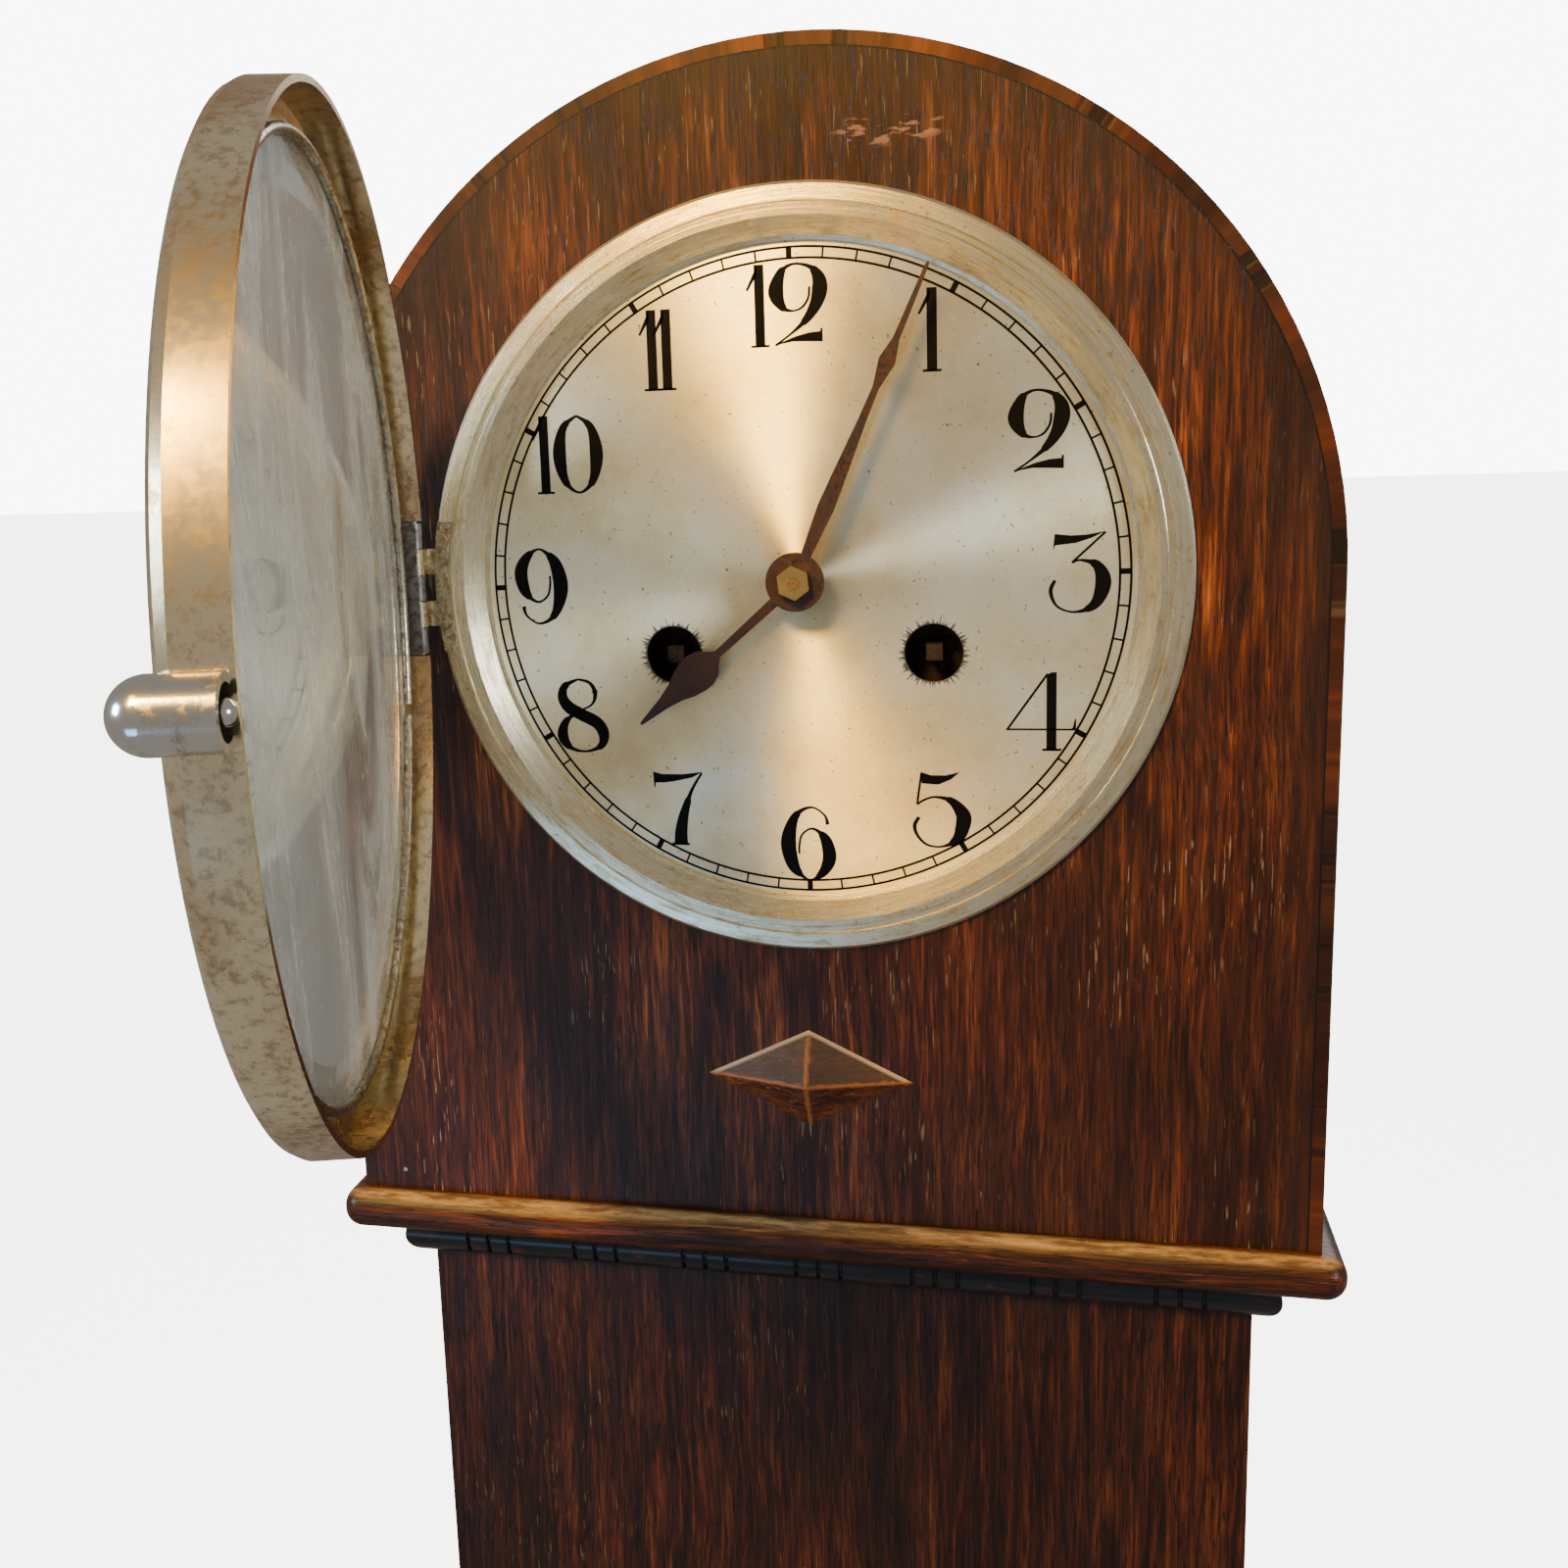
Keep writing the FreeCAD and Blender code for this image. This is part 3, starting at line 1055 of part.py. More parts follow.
def escapement(centres):
    """Pallets on their arbor with the crutch behind the back plate."""
    gap, sheet_metal = number("plate_gap"), number("plate_sheet")
    rise = centres["pallets"][1] - centres["escape"][1]
    half_span = math.pi * PALLET_SPAN / ESCAPE_TEETH
    nose_reach = ESCAPE_RADIUS + 0.25
    nose_x, nose_z = nose_reach * math.sin(half_span), nose_reach * math.cos(half_span) - rise
    inward = (-math.sin(half_span), -math.cos(half_span))
    shapes = []
    for side in (-1, 1):
        root_x, root_z = nose_x - inward[0] * 3.0, nose_z - inward[1] * 3.0
        corners = [(0, 2.6), (root_x + 0.6, root_z + 1.0), (nose_x + 0.22, nose_z),
                   (nose_x - 0.22, nose_z + 0.05), (root_x - 1.8, root_z - 0.8), (0, -1.0)]
        shapes.append(slab([(side * x, z) for x, z in corners], 29.6, 31.6))
    arbor = [rod(1.6, 0.3, gap + sheet_metal + 3), rod(PIVOT, -sheet_metal, 1)]
    level = gap + sheet_metal + 2
    drop = CRUTCH_DROP
    crutch = block((-1.0, 1.0), (level, level + 1.2), (-drop, 0))
    fork_reach = number("pendulum_setback") + 3
    prongs = [block(sorted((side * 1.35, side * 2.6)), (level, gap + fork_reach), (-drop - 2, -drop + 1))
              for side in (-1, 1)]
    bridge = block((-2.6, 2.6), (level, level + 1.2), (-drop - 2, -drop + 1))
    at = at_movement(*centres["pallets"])
    solid("pallets_and_crutch", fuse(shapes + arbor + [crutch, bridge] + prongs), **at)

    behind = gap + sheet_metal
    post = block((-9, 9), (behind, behind + 2), (4.5, 9.5))
    cheeks = [block(sorted((side * 1.1, side * 4)), (behind, gap + fork_reach + 2), (1.5, 9.5))
              for side in (-1, 1)]
    screws = [rod(1.8, behind + 2, behind + 3.2, side * 6.8, 7) for side in (-1, 1)]
    solid("suspension_cock", fuse([post, *cheeks, *screws]), **at)


def pendulum(centres):
    """Suspension spring and rod, the lens-shaped bob that slides on it, and the rating nut under the bob."""
    level = number("plate_gap + pendulum_setback")
    length, radius, fit = number("pendulum_length"), number("bob_radius"), number("running_fit")
    spring = block((-0.2, 0.2), (level - 2.5, level + 2.5), (-4, 3))
    cheek = block((-0.6, 0.6), (level - 3, level + 3), (2, 5))
    lower = block((-0.8, 0.8), (level - 3, level + 3), (-8, -3.5))
    stem = upright(1.2, -length - radius - 10, -7, 0, level)
    at = at_movement(*centres["pallets"])
    solid("pendulum_rod", fuse([spring, cheek, lower, stem]), **at)

    half = 6.0
    sphere = (radius**2 + half**2) / 2 / half
    lens = Part.makeSphere(sphere, Vector(0, sphere - half, 0)).common(
        Part.makeSphere(sphere, Vector(0, half - sphere, 0)))
    lens.translate(Vector(0, level, -length))
    bob = lens.cut(upright(1.2 + fit, -length - radius - 1, -length + radius + 1, 0, level))
    solid("pendulum_bob", bob, **at)

    low = -length - radius
    nut = upright(5, low - 3.6, low - 0.2, 0, level)
    grooves = [upright(0.6, low - 4, low, *(5.1 * share for share in (math.cos(turn), math.sin(turn))))
               for turn in (math.tau * i / 16 for i in range(16))]
    for groove in grooves:
        groove.translate(Vector(0, level, 0))
    nut = nut.cut(Part.makeCompound(grooves)).cut(upright(1.2 + fit, low - 5, low + 1, 0, level))
    solid("rating_nut", nut, **at)


def motion_work(centres):
    """Cannon pinion, minute wheel and hour wheel in front of the front plate."""
    fit = number("running_fit")
    face = -number("plate_sheet")
    arbor, pipe, hour_pipe = (number(name) for name in ("centre_arbor", "cannon_bore", "hour_pipe"))
    dial_at = number("dial_face - train_front")
    line = math.radians(45)
    cannon = fuse([pinion(CANNON_TEETH, CANNON_MODULE, (face - 4.2, face - 1.2), line),
                   rod(pipe, dial_at - number("minute_lift + hand_sheet"), face - 0.6)])
    cannon = cannon.cut(rod(arbor + fit, dial_at - 20, 0))
    solid("cannon_pinion", cannon, **at_movement())

    distance = math.hypot(*centres["minute_wheel"])
    hour_module = distance * 2 / sum(HOUR_TEETH)
    wheel_phase = mesh_phase(CANNON_TEETH[1], line, CANNON_TEETH[0], line)
    minute = fuse([gear(CANNON_TEETH[0], CANNON_MODULE, face - 3.4, face - 2.0, wheel_phase),
                   gear(HOUR_TEETH[1], hour_module, face - 8.5, face - 3.2, line + math.pi, 0.7)])
    minute = minute.cut(rod(1.0 + fit, face - 10, face))
    solid("minute_wheel", minute, **at_movement(*centres["minute_wheel"]))

    hour_phase = mesh_phase(HOUR_TEETH[1], line + math.pi, HOUR_TEETH[0], line + math.pi)
    hour = fuse([gear(HOUR_TEETH[0], hour_module, face - 7.2, face - 5.8, hour_phase),
                 rod(hour_pipe, dial_at - number("hour_lift + hand_sheet"), face - 5.0)])
    hour = hour.cut(rod(pipe + fit, dial_at - 20, 0))
    solid("hour_wheel", hour, **at_movement())


def striking(centres):
    """The strike hammer on its arbor, and the gong rods in their block on the back of the seat board."""
    gap, sheet_metal = number("plate_gap"), number("plate_sheet")
    x, z = centres["hammer"]
    behind = gap + sheet_metal
    head_low = -number("seat_drop + board") - 22 - z
    levels = [behind + level for level in GONG_LEVELS]
    arbor = rod(1.5, -sheet_metal, behind + 5)
    toward = (centres["pin_wheel"][0] - x, centres["pin_wheel"][1] - z)
    distance = math.hypot(*toward)
    share = 1 - (STRIKE_PIN_CIRCLE + STRIKE_PIN_RADIUS + 0.5) / distance
    tip = (toward[0] * share, toward[1] * share)
    across = (-toward[1] / distance * 1.2, toward[0] / distance * 1.2)
    tail = slab([across, (-across[0], -across[1]), (tip[0] - across[0] * 0.6, tip[1] - across[1] * 0.6),
                 (tip[0] + across[0] * 0.6, tip[1] + across[1] * 0.6)], 7.4, 8.6).fuse(rod(2.6, 7.0, 9.0))
    arm = block((-1.4, 1.4), (behind + 3.4, behind + 4.8), (head_low, 0))
    bar = block((-2, 2), (behind + 3.4, behind + 20), (head_low - 2, head_low + 2))
    heads = [Part.makeCylinder(4, 14, Vector(-7, level, head_low), Vector(1, 0, 0))
             for level in levels]
    solid("strike_hammer", fuse([arbor, tail, arm, bar, *heads]), **at_movement(x, z))

    rod_x = x - 7 - GONG_RADIUS - 1.6
    seat_back = number("train_back + plate_sheet + seat_behind - train_front")
    block_top = -number("seat_drop") + 4
    block_low = block_top - 24
    base = block((rod_x - 14, rod_x + 5), (seat_back, behind + 24), (block_low, block_top))
    bores = [upright(GONG_RADIUS, block_low - 1, block_low + 14, rod_x, level) for level in levels]
    solid("gong_block", base.cut(Part.makeCompound(bores)), **at_movement())
    rods = [upright(GONG_RADIUS, block_low - number("rod_length") + 10 * i, block_low + 14, rod_x, level)
            for i, level in enumerate(levels)]
    solid("gong_rods", Part.makeCompound(rods), **at_movement())


# ---------------------------------------------------------------- the whole clock

def build():
    hood_front()
    hood_shell()
    hood_back()
    back_door()
    back_door_hinges()
    turn_button()
    torus_board()
    bead_mouldings()
    trunk()
    plinth()
    diamond_ornament()
    seat_board()
    dial()
    dial_surround()
    bezel_door()
    bezel_hinge()
    hands()
    centres = movement_centres()
    plates(centres)
    phases = barrels(centres)
    trains(centres, phases)
    escapement(centres)
    pendulum(centres)
    motion_work(centres)
    striking(centres)


def check_and_export():
    """Refuse a failed feature or a broken shape, then write one STEP file per sub-part."""
    doc.recompute()
    for item in doc.Objects:
        if "Invalid" in item.State or "Error" in item.State:
            raise RuntimeError(f"{item.Label}: {item.State}")
    for item in NODES:
        if item.Shape.isNull() or not item.Shape.isValid() or not item.Shape.Solids:
            raise RuntimeError(f"{item.Label} has no valid solid")
    os.makedirs("parts", exist_ok=True)
    for item in NODES:
        item.Shape.exportStep(f"parts/{item.Label}.step")
    print(len(NODES), "sub-parts")


build()
check_and_export()
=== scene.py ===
"""Looks of the dome-topped oak granddaughter clock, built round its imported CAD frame. Metres throughout."""
import math

import bpy
from mathutils import Matrix, Vector


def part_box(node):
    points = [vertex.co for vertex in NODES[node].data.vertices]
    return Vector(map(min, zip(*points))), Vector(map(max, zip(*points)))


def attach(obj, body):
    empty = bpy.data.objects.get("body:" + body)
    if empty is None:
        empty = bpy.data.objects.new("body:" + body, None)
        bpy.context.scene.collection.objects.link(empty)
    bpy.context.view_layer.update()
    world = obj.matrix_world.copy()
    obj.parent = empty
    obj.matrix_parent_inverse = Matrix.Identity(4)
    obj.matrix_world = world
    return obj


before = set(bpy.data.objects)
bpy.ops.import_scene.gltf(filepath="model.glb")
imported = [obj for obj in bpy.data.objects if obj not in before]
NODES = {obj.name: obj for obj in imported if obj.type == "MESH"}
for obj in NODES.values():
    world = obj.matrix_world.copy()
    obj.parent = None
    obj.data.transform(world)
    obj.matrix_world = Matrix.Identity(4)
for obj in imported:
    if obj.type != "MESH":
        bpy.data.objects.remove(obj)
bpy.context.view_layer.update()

MM = 0.001

# Places read from the frame, and the radius of the winding holes in the dial.
DIAL_LOW, DIAL_HIGH = (Vector(corner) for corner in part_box("dial"))
DIAL_FACE = DIAL_LOW.y
CENTRE_Z = (DIAL_LOW.z + DIAL_HIGH.z) / 2
HOOD_LOW, HOOD_HIGH = (Vector(corner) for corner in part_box("hood_front"))
SHELL_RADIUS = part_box("hood_shell")[1].x
TORUS_LOW, TORUS_HIGH = (Vector(corner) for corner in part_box("torus_board"))
ORNAMENT_LOW, ORNAMENT_HIGH = (Vector(corner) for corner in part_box("diamond_ornament"))
ARBOR_LOW, ARBOR_HIGH = (Vector(corner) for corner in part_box("going_winding_arbor"))
HINGE_PIN_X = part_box("bezel_hinge_door_leaf")[0].x
WINDING_HOLE = 7.8 * MM


# ---------------------------------------------------------------- node helpers

class Paint:
    """A material under construction: its tree, its Principled shader and short ways to add nodes."""

    def __init__(self, name, **constants):
        self.material = bpy.data.materials.new(name)
        self.material.use_nodes = True
        self.tree = self.material.node_tree
        self.shader = self.tree.nodes["Principled BSDF"]
        for socket, value in constants.items():
            self.shader.inputs[socket.replace("_", " ")].default_value = value
        self.place = self.tree.nodes.new("ShaderNodeTexCoord").outputs["Object"]

    def link(self, source, target):
        self.tree.links.new(source, target)

    def feed(self, socket, value):
        if hasattr(value, "is_output"):
            self.link(value, socket)
        else:
            socket.default_value = value

    def calc(self, operation, *values):
        node = self.tree.nodes.new("ShaderNodeMath")
        node.operation = operation
        for socket, value in zip(node.inputs, values):
            self.feed(socket, value)
        return node.outputs[0]

    def plus(self, a, b):
        return self.calc("ADD", a, b)

    def minus(self, a, b):
        return self.calc("SUBTRACT", a, b)

    def times(self, a, b):
        return self.calc("MULTIPLY", a, b)

    def size(self, value):
        return self.calc("ABSOLUTE", value)

    def hypotenuse(self, a, b):
        return self.calc("SQRT", self.plus(self.times(a, a), self.times(b, b)))

    def split(self, vector=None):
        node = self.tree.nodes.new("ShaderNodeSeparateXYZ")
        self.link(vector or self.place, node.inputs[0])
        return node.outputs

    def join(self, x, y, z):
        node = self.tree.nodes.new("ShaderNodeCombineXYZ")
        for socket, value in zip(node.inputs, (x, y, z)):
            self.feed(socket, value)
        return node.outputs[0]

    def stretched(self, scale, vector=None):
        node = self.tree.nodes.new("ShaderNodeMapping")
        self.link(vector or self.place, node.inputs["Vector"])
        node.inputs["Scale"].default_value = scale
        return node.outputs[0]

    def noise(self, scale, detail=3.0, roughness=0.55, distortion=0.0, vector=None):
        node = self.tree.nodes.new("ShaderNodeTexNoise")
        self.link(self.stretched(scale, vector), node.inputs["Vector"])
        node.inputs["Scale"].default_value = 1.0
        node.inputs["Detail"].default_value = detail
        node.inputs["Roughness"].default_value = roughness
        node.inputs["Distortion"].default_value = distortion
        return node.outputs["Fac"]

    def window(self, value, low, high, top=1.0, bottom=0.0):
        """A value that rises from bottom to top as the input goes from low to high."""
        node = self.tree.nodes.new("ShaderNodeMapRange")
        node.interpolation_type = "SMOOTHSTEP"
        for socket, number in zip(node.inputs, (value, low, high, bottom, top)):
            self.feed(socket, number)
        return node.outputs[0]

    def ramp(self, value, *stops):
        node = self.tree.nodes.new("ShaderNodeValToRGB")
        self.link(value, node.inputs[0])
        elements = node.color_ramp.elements
        while len(elements) < len(stops):
            elements.new(0.5)
        for element, (position, colour) in zip(elements, stops):
            element.position = position
            element.color = (*colour, 1.0)
        return node.outputs[0]

    def blend(self, share, a, b, mode="MIX"):
        node = self.tree.nodes.new("ShaderNodeMix")
        node.data_type = "RGBA"
        node.blend_type = mode
        self.feed(node.inputs["Factor"], share)
        for name, value in (("A", a), ("B", b)):
            socket = next(s for s in node.inputs if s.name == name and s.type == "RGBA")
            self.feed(socket, (*value, 1.0) if isinstance(value, tuple) else value)
        return next(s for s in node.outputs if s.type == "RGBA")

    def bump(self, height, strength, distance):
        node = self.tree.nodes.new("ShaderNodeBump")
        node.inputs["Strength"].default_value = strength
        node.inputs["Distance"].default_value = distance
        self.link(height, node.inputs["Height"])
        self.link(node.outputs[0], self.shader.inputs["Normal"])

    def finish(self, colour, roughness):
        self.link(colour, self.shader.inputs["Base Color"])
        self.link(roughness, self.shader.inputs["Roughness"])
        return self.material

    def dome_reach(self):
        """Distance from the dome's axis above the dial centre, and from its middle plane below it."""
        x, _, z = self.split()
        return self.hypotenuse(x, self.calc("MAXIMUM", self.minus(z, CENTRE_Z), 0.0))

    def about_dial(self):
        """Distance and angle about the dial's axis."""
        x, _, z = self.split()
        rise = self.minus(z, CENTRE_Z)
        return self.hypotenuse(x, rise), self.calc("ARCTAN2", rise, x)

    def about_winding_hole(self):
        """Distance and angle about the nearer winding arbor."""
        x, _, z = self.split()
        side = self.minus(self.size(x), (ARBOR_LOW.x + ARBOR_HIGH.x) / 2)
        rise = self.minus(z, (ARBOR_LOW.z + ARBOR_HIGH.z) / 2)
        return self.hypotenuse(side, rise), self.calc("ARCTAN2", rise, side)

    def turned_rings(self, lines, drift):
        """Fine lines that run round the dial's axis, so many to the metre, changing slowly round it."""
        return self.noise((lines, drift, 1), 3, vector=self.join(*self.about_dial(), 0.0))

    def brush_in_circles(self):
        """Turn the brushing of the metal round the dial's axis."""
        node = self.tree.nodes.new("ShaderNodeTangent")
        node.direction_type = "RADIAL"
        node.axis = "Y"
        self.link(node.outputs[0], self.shader.inputs["Tangent"])


# ---------------------------------------------------------------- wood

HALVES_APART = 0.31               # keeps the grain of the hood's left side unlike its right
GRAIN_SWAY = 6 * MM
OAK_SHADES = ((0.36, (0.0095, 0.0030, 0.0017)), (0.46, (0.034, 0.0082, 0.0033)),
              (0.54, (0.088, 0.0215, 0.0062)), (0.62, (0.19, 0.053, 0.0125)), (0.74, (0.34, 0.125, 0.030)))
OAK_CLOUD = (0.0125, 0.0046, 0.0028)
OAK_PORE = (0.0045, 0.0022, 0.0017)
OAK_DUST = (0.30, 0.22, 0.15)
FIBRE_TINTS = ((0.3, (0.34, 0.32, 0.32)), (0.52, (1.0, 1.0, 1.0)), (0.72, (2.1, 1.75, 1.4)))


def along_grain(paint, grain):
    """Coordinates whose third part runs with the grain."""
    x, y, z = paint.split()
    if grain == "X":
        return paint.join(z, y, x)
    if grain == "Y":
        return paint.join(x, z, y)
    if grain == "ROUND":
        rise = paint.calc("MAXIMUM", paint.minus(z, CENTRE_Z), 0.0)
        turn = paint.calc("ARCTAN2", rise, paint.size(x))
        side = paint.times(paint.calc("SIGN", x), HALVES_APART)
        arc = paint.times(turn, SHELL_RADIUS)
        return paint.join(side, y, paint.plus(arc, paint.calc("MINIMUM", z, CENTRE_Z)))
    return paint.place


def oak(name, grain="Z", light=1.0, wear=None):
    """Dark stained and varnished oak: streaks, fibres, dark pores, dust in some pores, its own wear with
    painted shade and highlights on some parts, and a painted light level that scales the whole colour.
    """
    paint = Paint(name, Coat_Weight=0.10, Coat_Roughness=0.3, Specular_IOR_Level=0.22)
    along = along_grain(paint, grain)
    sway = paint.times(paint.noise((9, 9, 9), 2, vector=along), GRAIN_SWAY)
    across_x, across_y, length = paint.split(along)
    bent = paint.join(paint.plus(across_x, sway), paint.plus(across_y, sway), length)
    streak = paint.noise((420, 420, 24), 6, 0.68, 0.5, bent)
    band = paint.noise((60, 60, 6), 4, 0.55, vector=bent)
    colour = paint.ramp(paint.plus(paint.times(streak, 0.68), paint.times(band, 0.32)), *OAK_SHADES)
    cloud = paint.noise((12, 12, 6), 3, 0.6, vector=along)
    colour = paint.blend(paint.window(cloud, 0.40, 0.66, 0.0, 0.70), colour, OAK_CLOUD)
    fibre = paint.noise((1500, 1500, 60), 4, 0.62, vector=bent)
    colour = paint.blend(0.9, colour, paint.ramp(fibre, *FIBRE_TINTS), "MULTIPLY")
    pores = paint.window(paint.noise((1900, 1900, 110), 2, 0.5, vector=bent), 0.58, 0.64)
    colour = paint.blend(paint.times(pores, 0.75), colour, OAK_PORE)
    dust = paint.window(paint.noise((1700, 1700, 110), 2, 0.5, vector=along), 0.655, 0.71)
    dusty = paint.window(paint.noise((24, 24, 18), 3, vector=along), 0.46, 0.62, 0.55)
    colour = paint.blend(paint.times(dust, dusty), colour, OAK_DUST)
    # wear adds real wear, and on some parts painted shade and highlights too.
    if wear:
        colour = wear(paint, colour)
    # Painted light and shade: light brightens or darkens the whole oak colour, making lit and shaded copies
    # of one wood.
    colour = paint.blend(1.0, colour, (light, light, light), "MULTIPLY")
    paint.bump(paint.minus(fibre, paint.times(pores, 1.4)), 0.5, 0.22 * MM)
    roughness = paint.window(paint.noise((60, 60, 18), 3, vector=along), 0.3, 0.7, 0.5, 0.36)
    return paint.finish(colour, roughness)


HOOD_SHADE_WIDTH = 22 * MM
HOOD_SHADE = (0.014, 0.006, 0.004)
HOOD_LOW_SHADE = (0.0115, 0.0042, 0.0026)
LOW_SHADE_FROM, LOW_SHADE_TO = 200 * MM, 20 * MM      # below the dial centre
JOINT_LINE = (0.004, 0.003, 0.003)
JOINT_LINE_FROM, JOINT_LINE_TO = 0.7 * MM, 0.3 * MM   # inside the edge of the front board
RUBBED_PLACE = (26 * MM, 112.5 * MM)                  # right of and above the dial centre
RUBBED_HALF_SIZE = (16 * MM, 4.5 * MM)
RUBBED_WOOD = (0.36, 0.17, 0.11)


def hood_front_wear(paint, colour):
    """The dark joint line round the hood front, painted shade beside it and towards the bottom, and worn
    scratches above the bezel.
    """
    reach = paint.dome_reach()
    edge = HOOD_HIGH.x
    x, _, z = paint.split()
    # Painted shade: darker towards the bottom.
    low = paint.window(z, CENTRE_Z - LOW_SHADE_FROM, CENTRE_Z - LOW_SHADE_TO, 0.0, 0.2)
    colour = paint.blend(low, colour, HOOD_LOW_SHADE)
    # Painted shade along the edge of the hood front.
    colour = paint.blend(paint.window(reach, edge - HOOD_SHADE_WIDTH, edge, 0.55), colour, HOOD_SHADE)
    line = paint.window(reach, edge - JOINT_LINE_FROM, edge - JOINT_LINE_TO)
    colour = paint.blend(line, colour, JOINT_LINE)
    across = paint.calc("DIVIDE", paint.minus(x, RUBBED_PLACE[0]), RUBBED_HALF_SIZE[0])
    upright = paint.calc("DIVIDE", paint.minus(z, CENTRE_Z + RUBBED_PLACE[1]), RUBBED_HALF_SIZE[1])
    spot = paint.plus(paint.calc("POWER", across, 2.0), paint.calc("POWER", upright, 2.0))
    rubbed = paint.window(paint.noise((150, 150, 520), 3), 0.52, 0.60, 0.5)
    return paint.blend(paint.times(paint.window(spot, 0.35, 1.1, 0.0, 1.0), rubbed), colour, RUBBED_WOOD)


RIDGE_FROM, RIDGE_TO = 1.0 * MM, 1.9 * MM
LEVEL_RIDGE_TO = 1.7 * MM
RIM_FROM, RIM_TO = 0.8 * MM, 0.3 * MM
RAGGED = 1.6 * MM
UPPER_FACES_PAINTED_SHADE = (0.030, 0.018, 0.012)
RIDGE_WOOD = (0.20, 0.060, 0.014)
RIM_PAINTED_HIGHLIGHT = (0.36, 0.25, 0.14)


def ornament_wear(paint, colour):
    """The ornament's ridges rubbed through to pale orange wood, a painted highlight along the upper half of
    its outline, and painted shade on its upper faces.
    """
    middle = (ORNAMENT_LOW + ORNAMENT_HIGH) / 2
    back = ORNAMENT_HIGH.y
    x, y, z = paint.split()
    over = paint.minus(z, middle.z)
    # Painted shade: the upper faces darker.
    colour = paint.blend(paint.window(over, 0.0, 0.6 * MM, 0.75), colour, UPPER_FACES_PAINTED_SHADE)
    ragged = paint.times(paint.noise((500, 500, 500), 4), RAGGED)
    upright = paint.window(paint.plus(paint.size(paint.minus(x, middle.x)), ragged), RIDGE_FROM, RIDGE_TO)
    level = paint.window(paint.plus(paint.size(over), ragged), RIDGE_FROM, LEVEL_RIDGE_TO)
    ridge = paint.calc("MAXIMUM", paint.minus(1.0, upright), paint.minus(1.0, level))
    # Painted highlight: a pale line along the outline, on the upper half only.
    rim = paint.times(paint.window(y, back - RIM_FROM, back - RIM_TO), paint.window(over, 0.0, 1.0 * MM, 0.6))
    colour = paint.blend(paint.times(ridge, 0.55), colour, RIDGE_WOOD)
    return paint.blend(paint.times(rim, 0.85), colour, RIM_PAINTED_HIGHLIGHT)


# Painted shade: the rounded board's oak darkened to this share.
TORUS_PAINTED_SHADE = 0.75
ARRIS_FROM, ARRIS_TO = 3.5 * MM, 6.2 * MM             # behind the front of the board
GOLDEN_DARK, GOLDEN_PALE = (0.2, 0.086667, 0.026667), (0.64, 0.426667, 0.186667)


def arris_wear(paint, colour):
    """The rounded board's upper front arris: a pale golden line, partly wood rubbed through and partly a
    painted highlight.
    """
    _, y, z = paint.split()
    thick = TORUS_HIGH.z - TORUS_LOW.z
    up = paint.window(z, TORUS_HIGH.z - 0.20 * thick, TORUS_HIGH.z - 0.08 * thick)
    front = paint.window(y, TORUS_LOW.y + ARRIS_FROM, TORUS_LOW.y + ARRIS_TO, 0.0, 1.0)
    rub = paint.window(paint.noise((60, 420, 420), 5, 0.7), 0.40, 0.58, 0.9, 0.25)
    golden = paint.blend(paint.noise((300, 900, 900), 3), GOLDEN_DARK, GOLDEN_PALE)
    # Partly wear, partly painted highlight: the golden line along the upper front arris.
    return paint.blend(paint.times(paint.times(up, front), rub), colour, golden)


def ebonised():
    """Black-stained moulding, glossy, rubbed brown in places."""
    paint = Paint("oak_ebonised", Coat_Weight=0.3, Coat_Roughness=0.16, Specular_IOR_Level=0.2)
    fibre = paint.noise((40, 900, 900), 4)
    rubbed = paint.window(paint.noise((85, 260, 260), 4), 0.58, 0.72, 0.8)
    black = paint.ramp(fibre, (0.3, (0.0022, 0.0026, 0.0036)), (0.7, (0.009, 0.010, 0.013)))
    colour = paint.blend(rubbed, black, (0.060, 0.017, 0.006))
    paint.bump(fibre, 0.25, 0.1 * MM)
    return paint.finish(colour, paint.window(fibre, 0.3, 0.7, 0.42, 0.26))


PLYWOOD_SHADES = ((0.32, (0.085, 0.045, 0.020)), (0.5, (0.20, 0.115, 0.052)), (0.7, (0.33, 0.21, 0.10)))
PLYWOOD_FIBRES = ((0.3, (0.6, 0.56, 0.52)), (0.7, (1.2, 1.15, 1.1)))
PLYWOOD_STAIN = (0.06, 0.03, 0.014)


def plywood():
    """Bare aged plywood and deal at the back, browned, with long grain and a few stains."""
    paint = Paint("plywood", Specular_IOR_Level=0.25)
    colour = paint.ramp(paint.noise((70, 70, 4), 6, 0.6, 0.5), *PLYWOOD_SHADES)
    fibre = paint.noise((800, 800, 22), 4)
    colour = paint.blend(0.7, colour, paint.ramp(fibre, *PLYWOOD_FIBRES), "MULTIPLY")
    stain = paint.window(paint.noise((16, 16, 11), 4), 0.5, 0.68, 0.55)
    colour = paint.blend(stain, colour, PLYWOOD_STAIN)
    paint.bump(fibre, 0.35, 0.2 * MM)
    return paint.finish(colour, paint.window(fibre, 0.3, 0.7, 0.8, 0.62))


# ---------------------------------------------------------------- metals and glass

DIAL_TINTS = ((0.36, (0.86, 0.73, 0.45)), (0.5, (0.96, 0.86, 0.59)), (0.64, (0.99, 0.94, 0.76)))
DIAL_LINES = 9000                 # brushed lines to the metre
LINE_TINTS = ((0.3, (0.84, 0.84, 0.82)), (0.7, (1.08, 1.08, 1.08)))
DARK_SPECK, PALE_SPECK, SCRATCHED = (0.06, 0.045, 0.03), (0.95, 0.94, 0.9), (0.035, 0.025, 0.015)
SPOKE_LENGTH = 3.4 * MM
SPOKE_FADE = 0.35 * MM


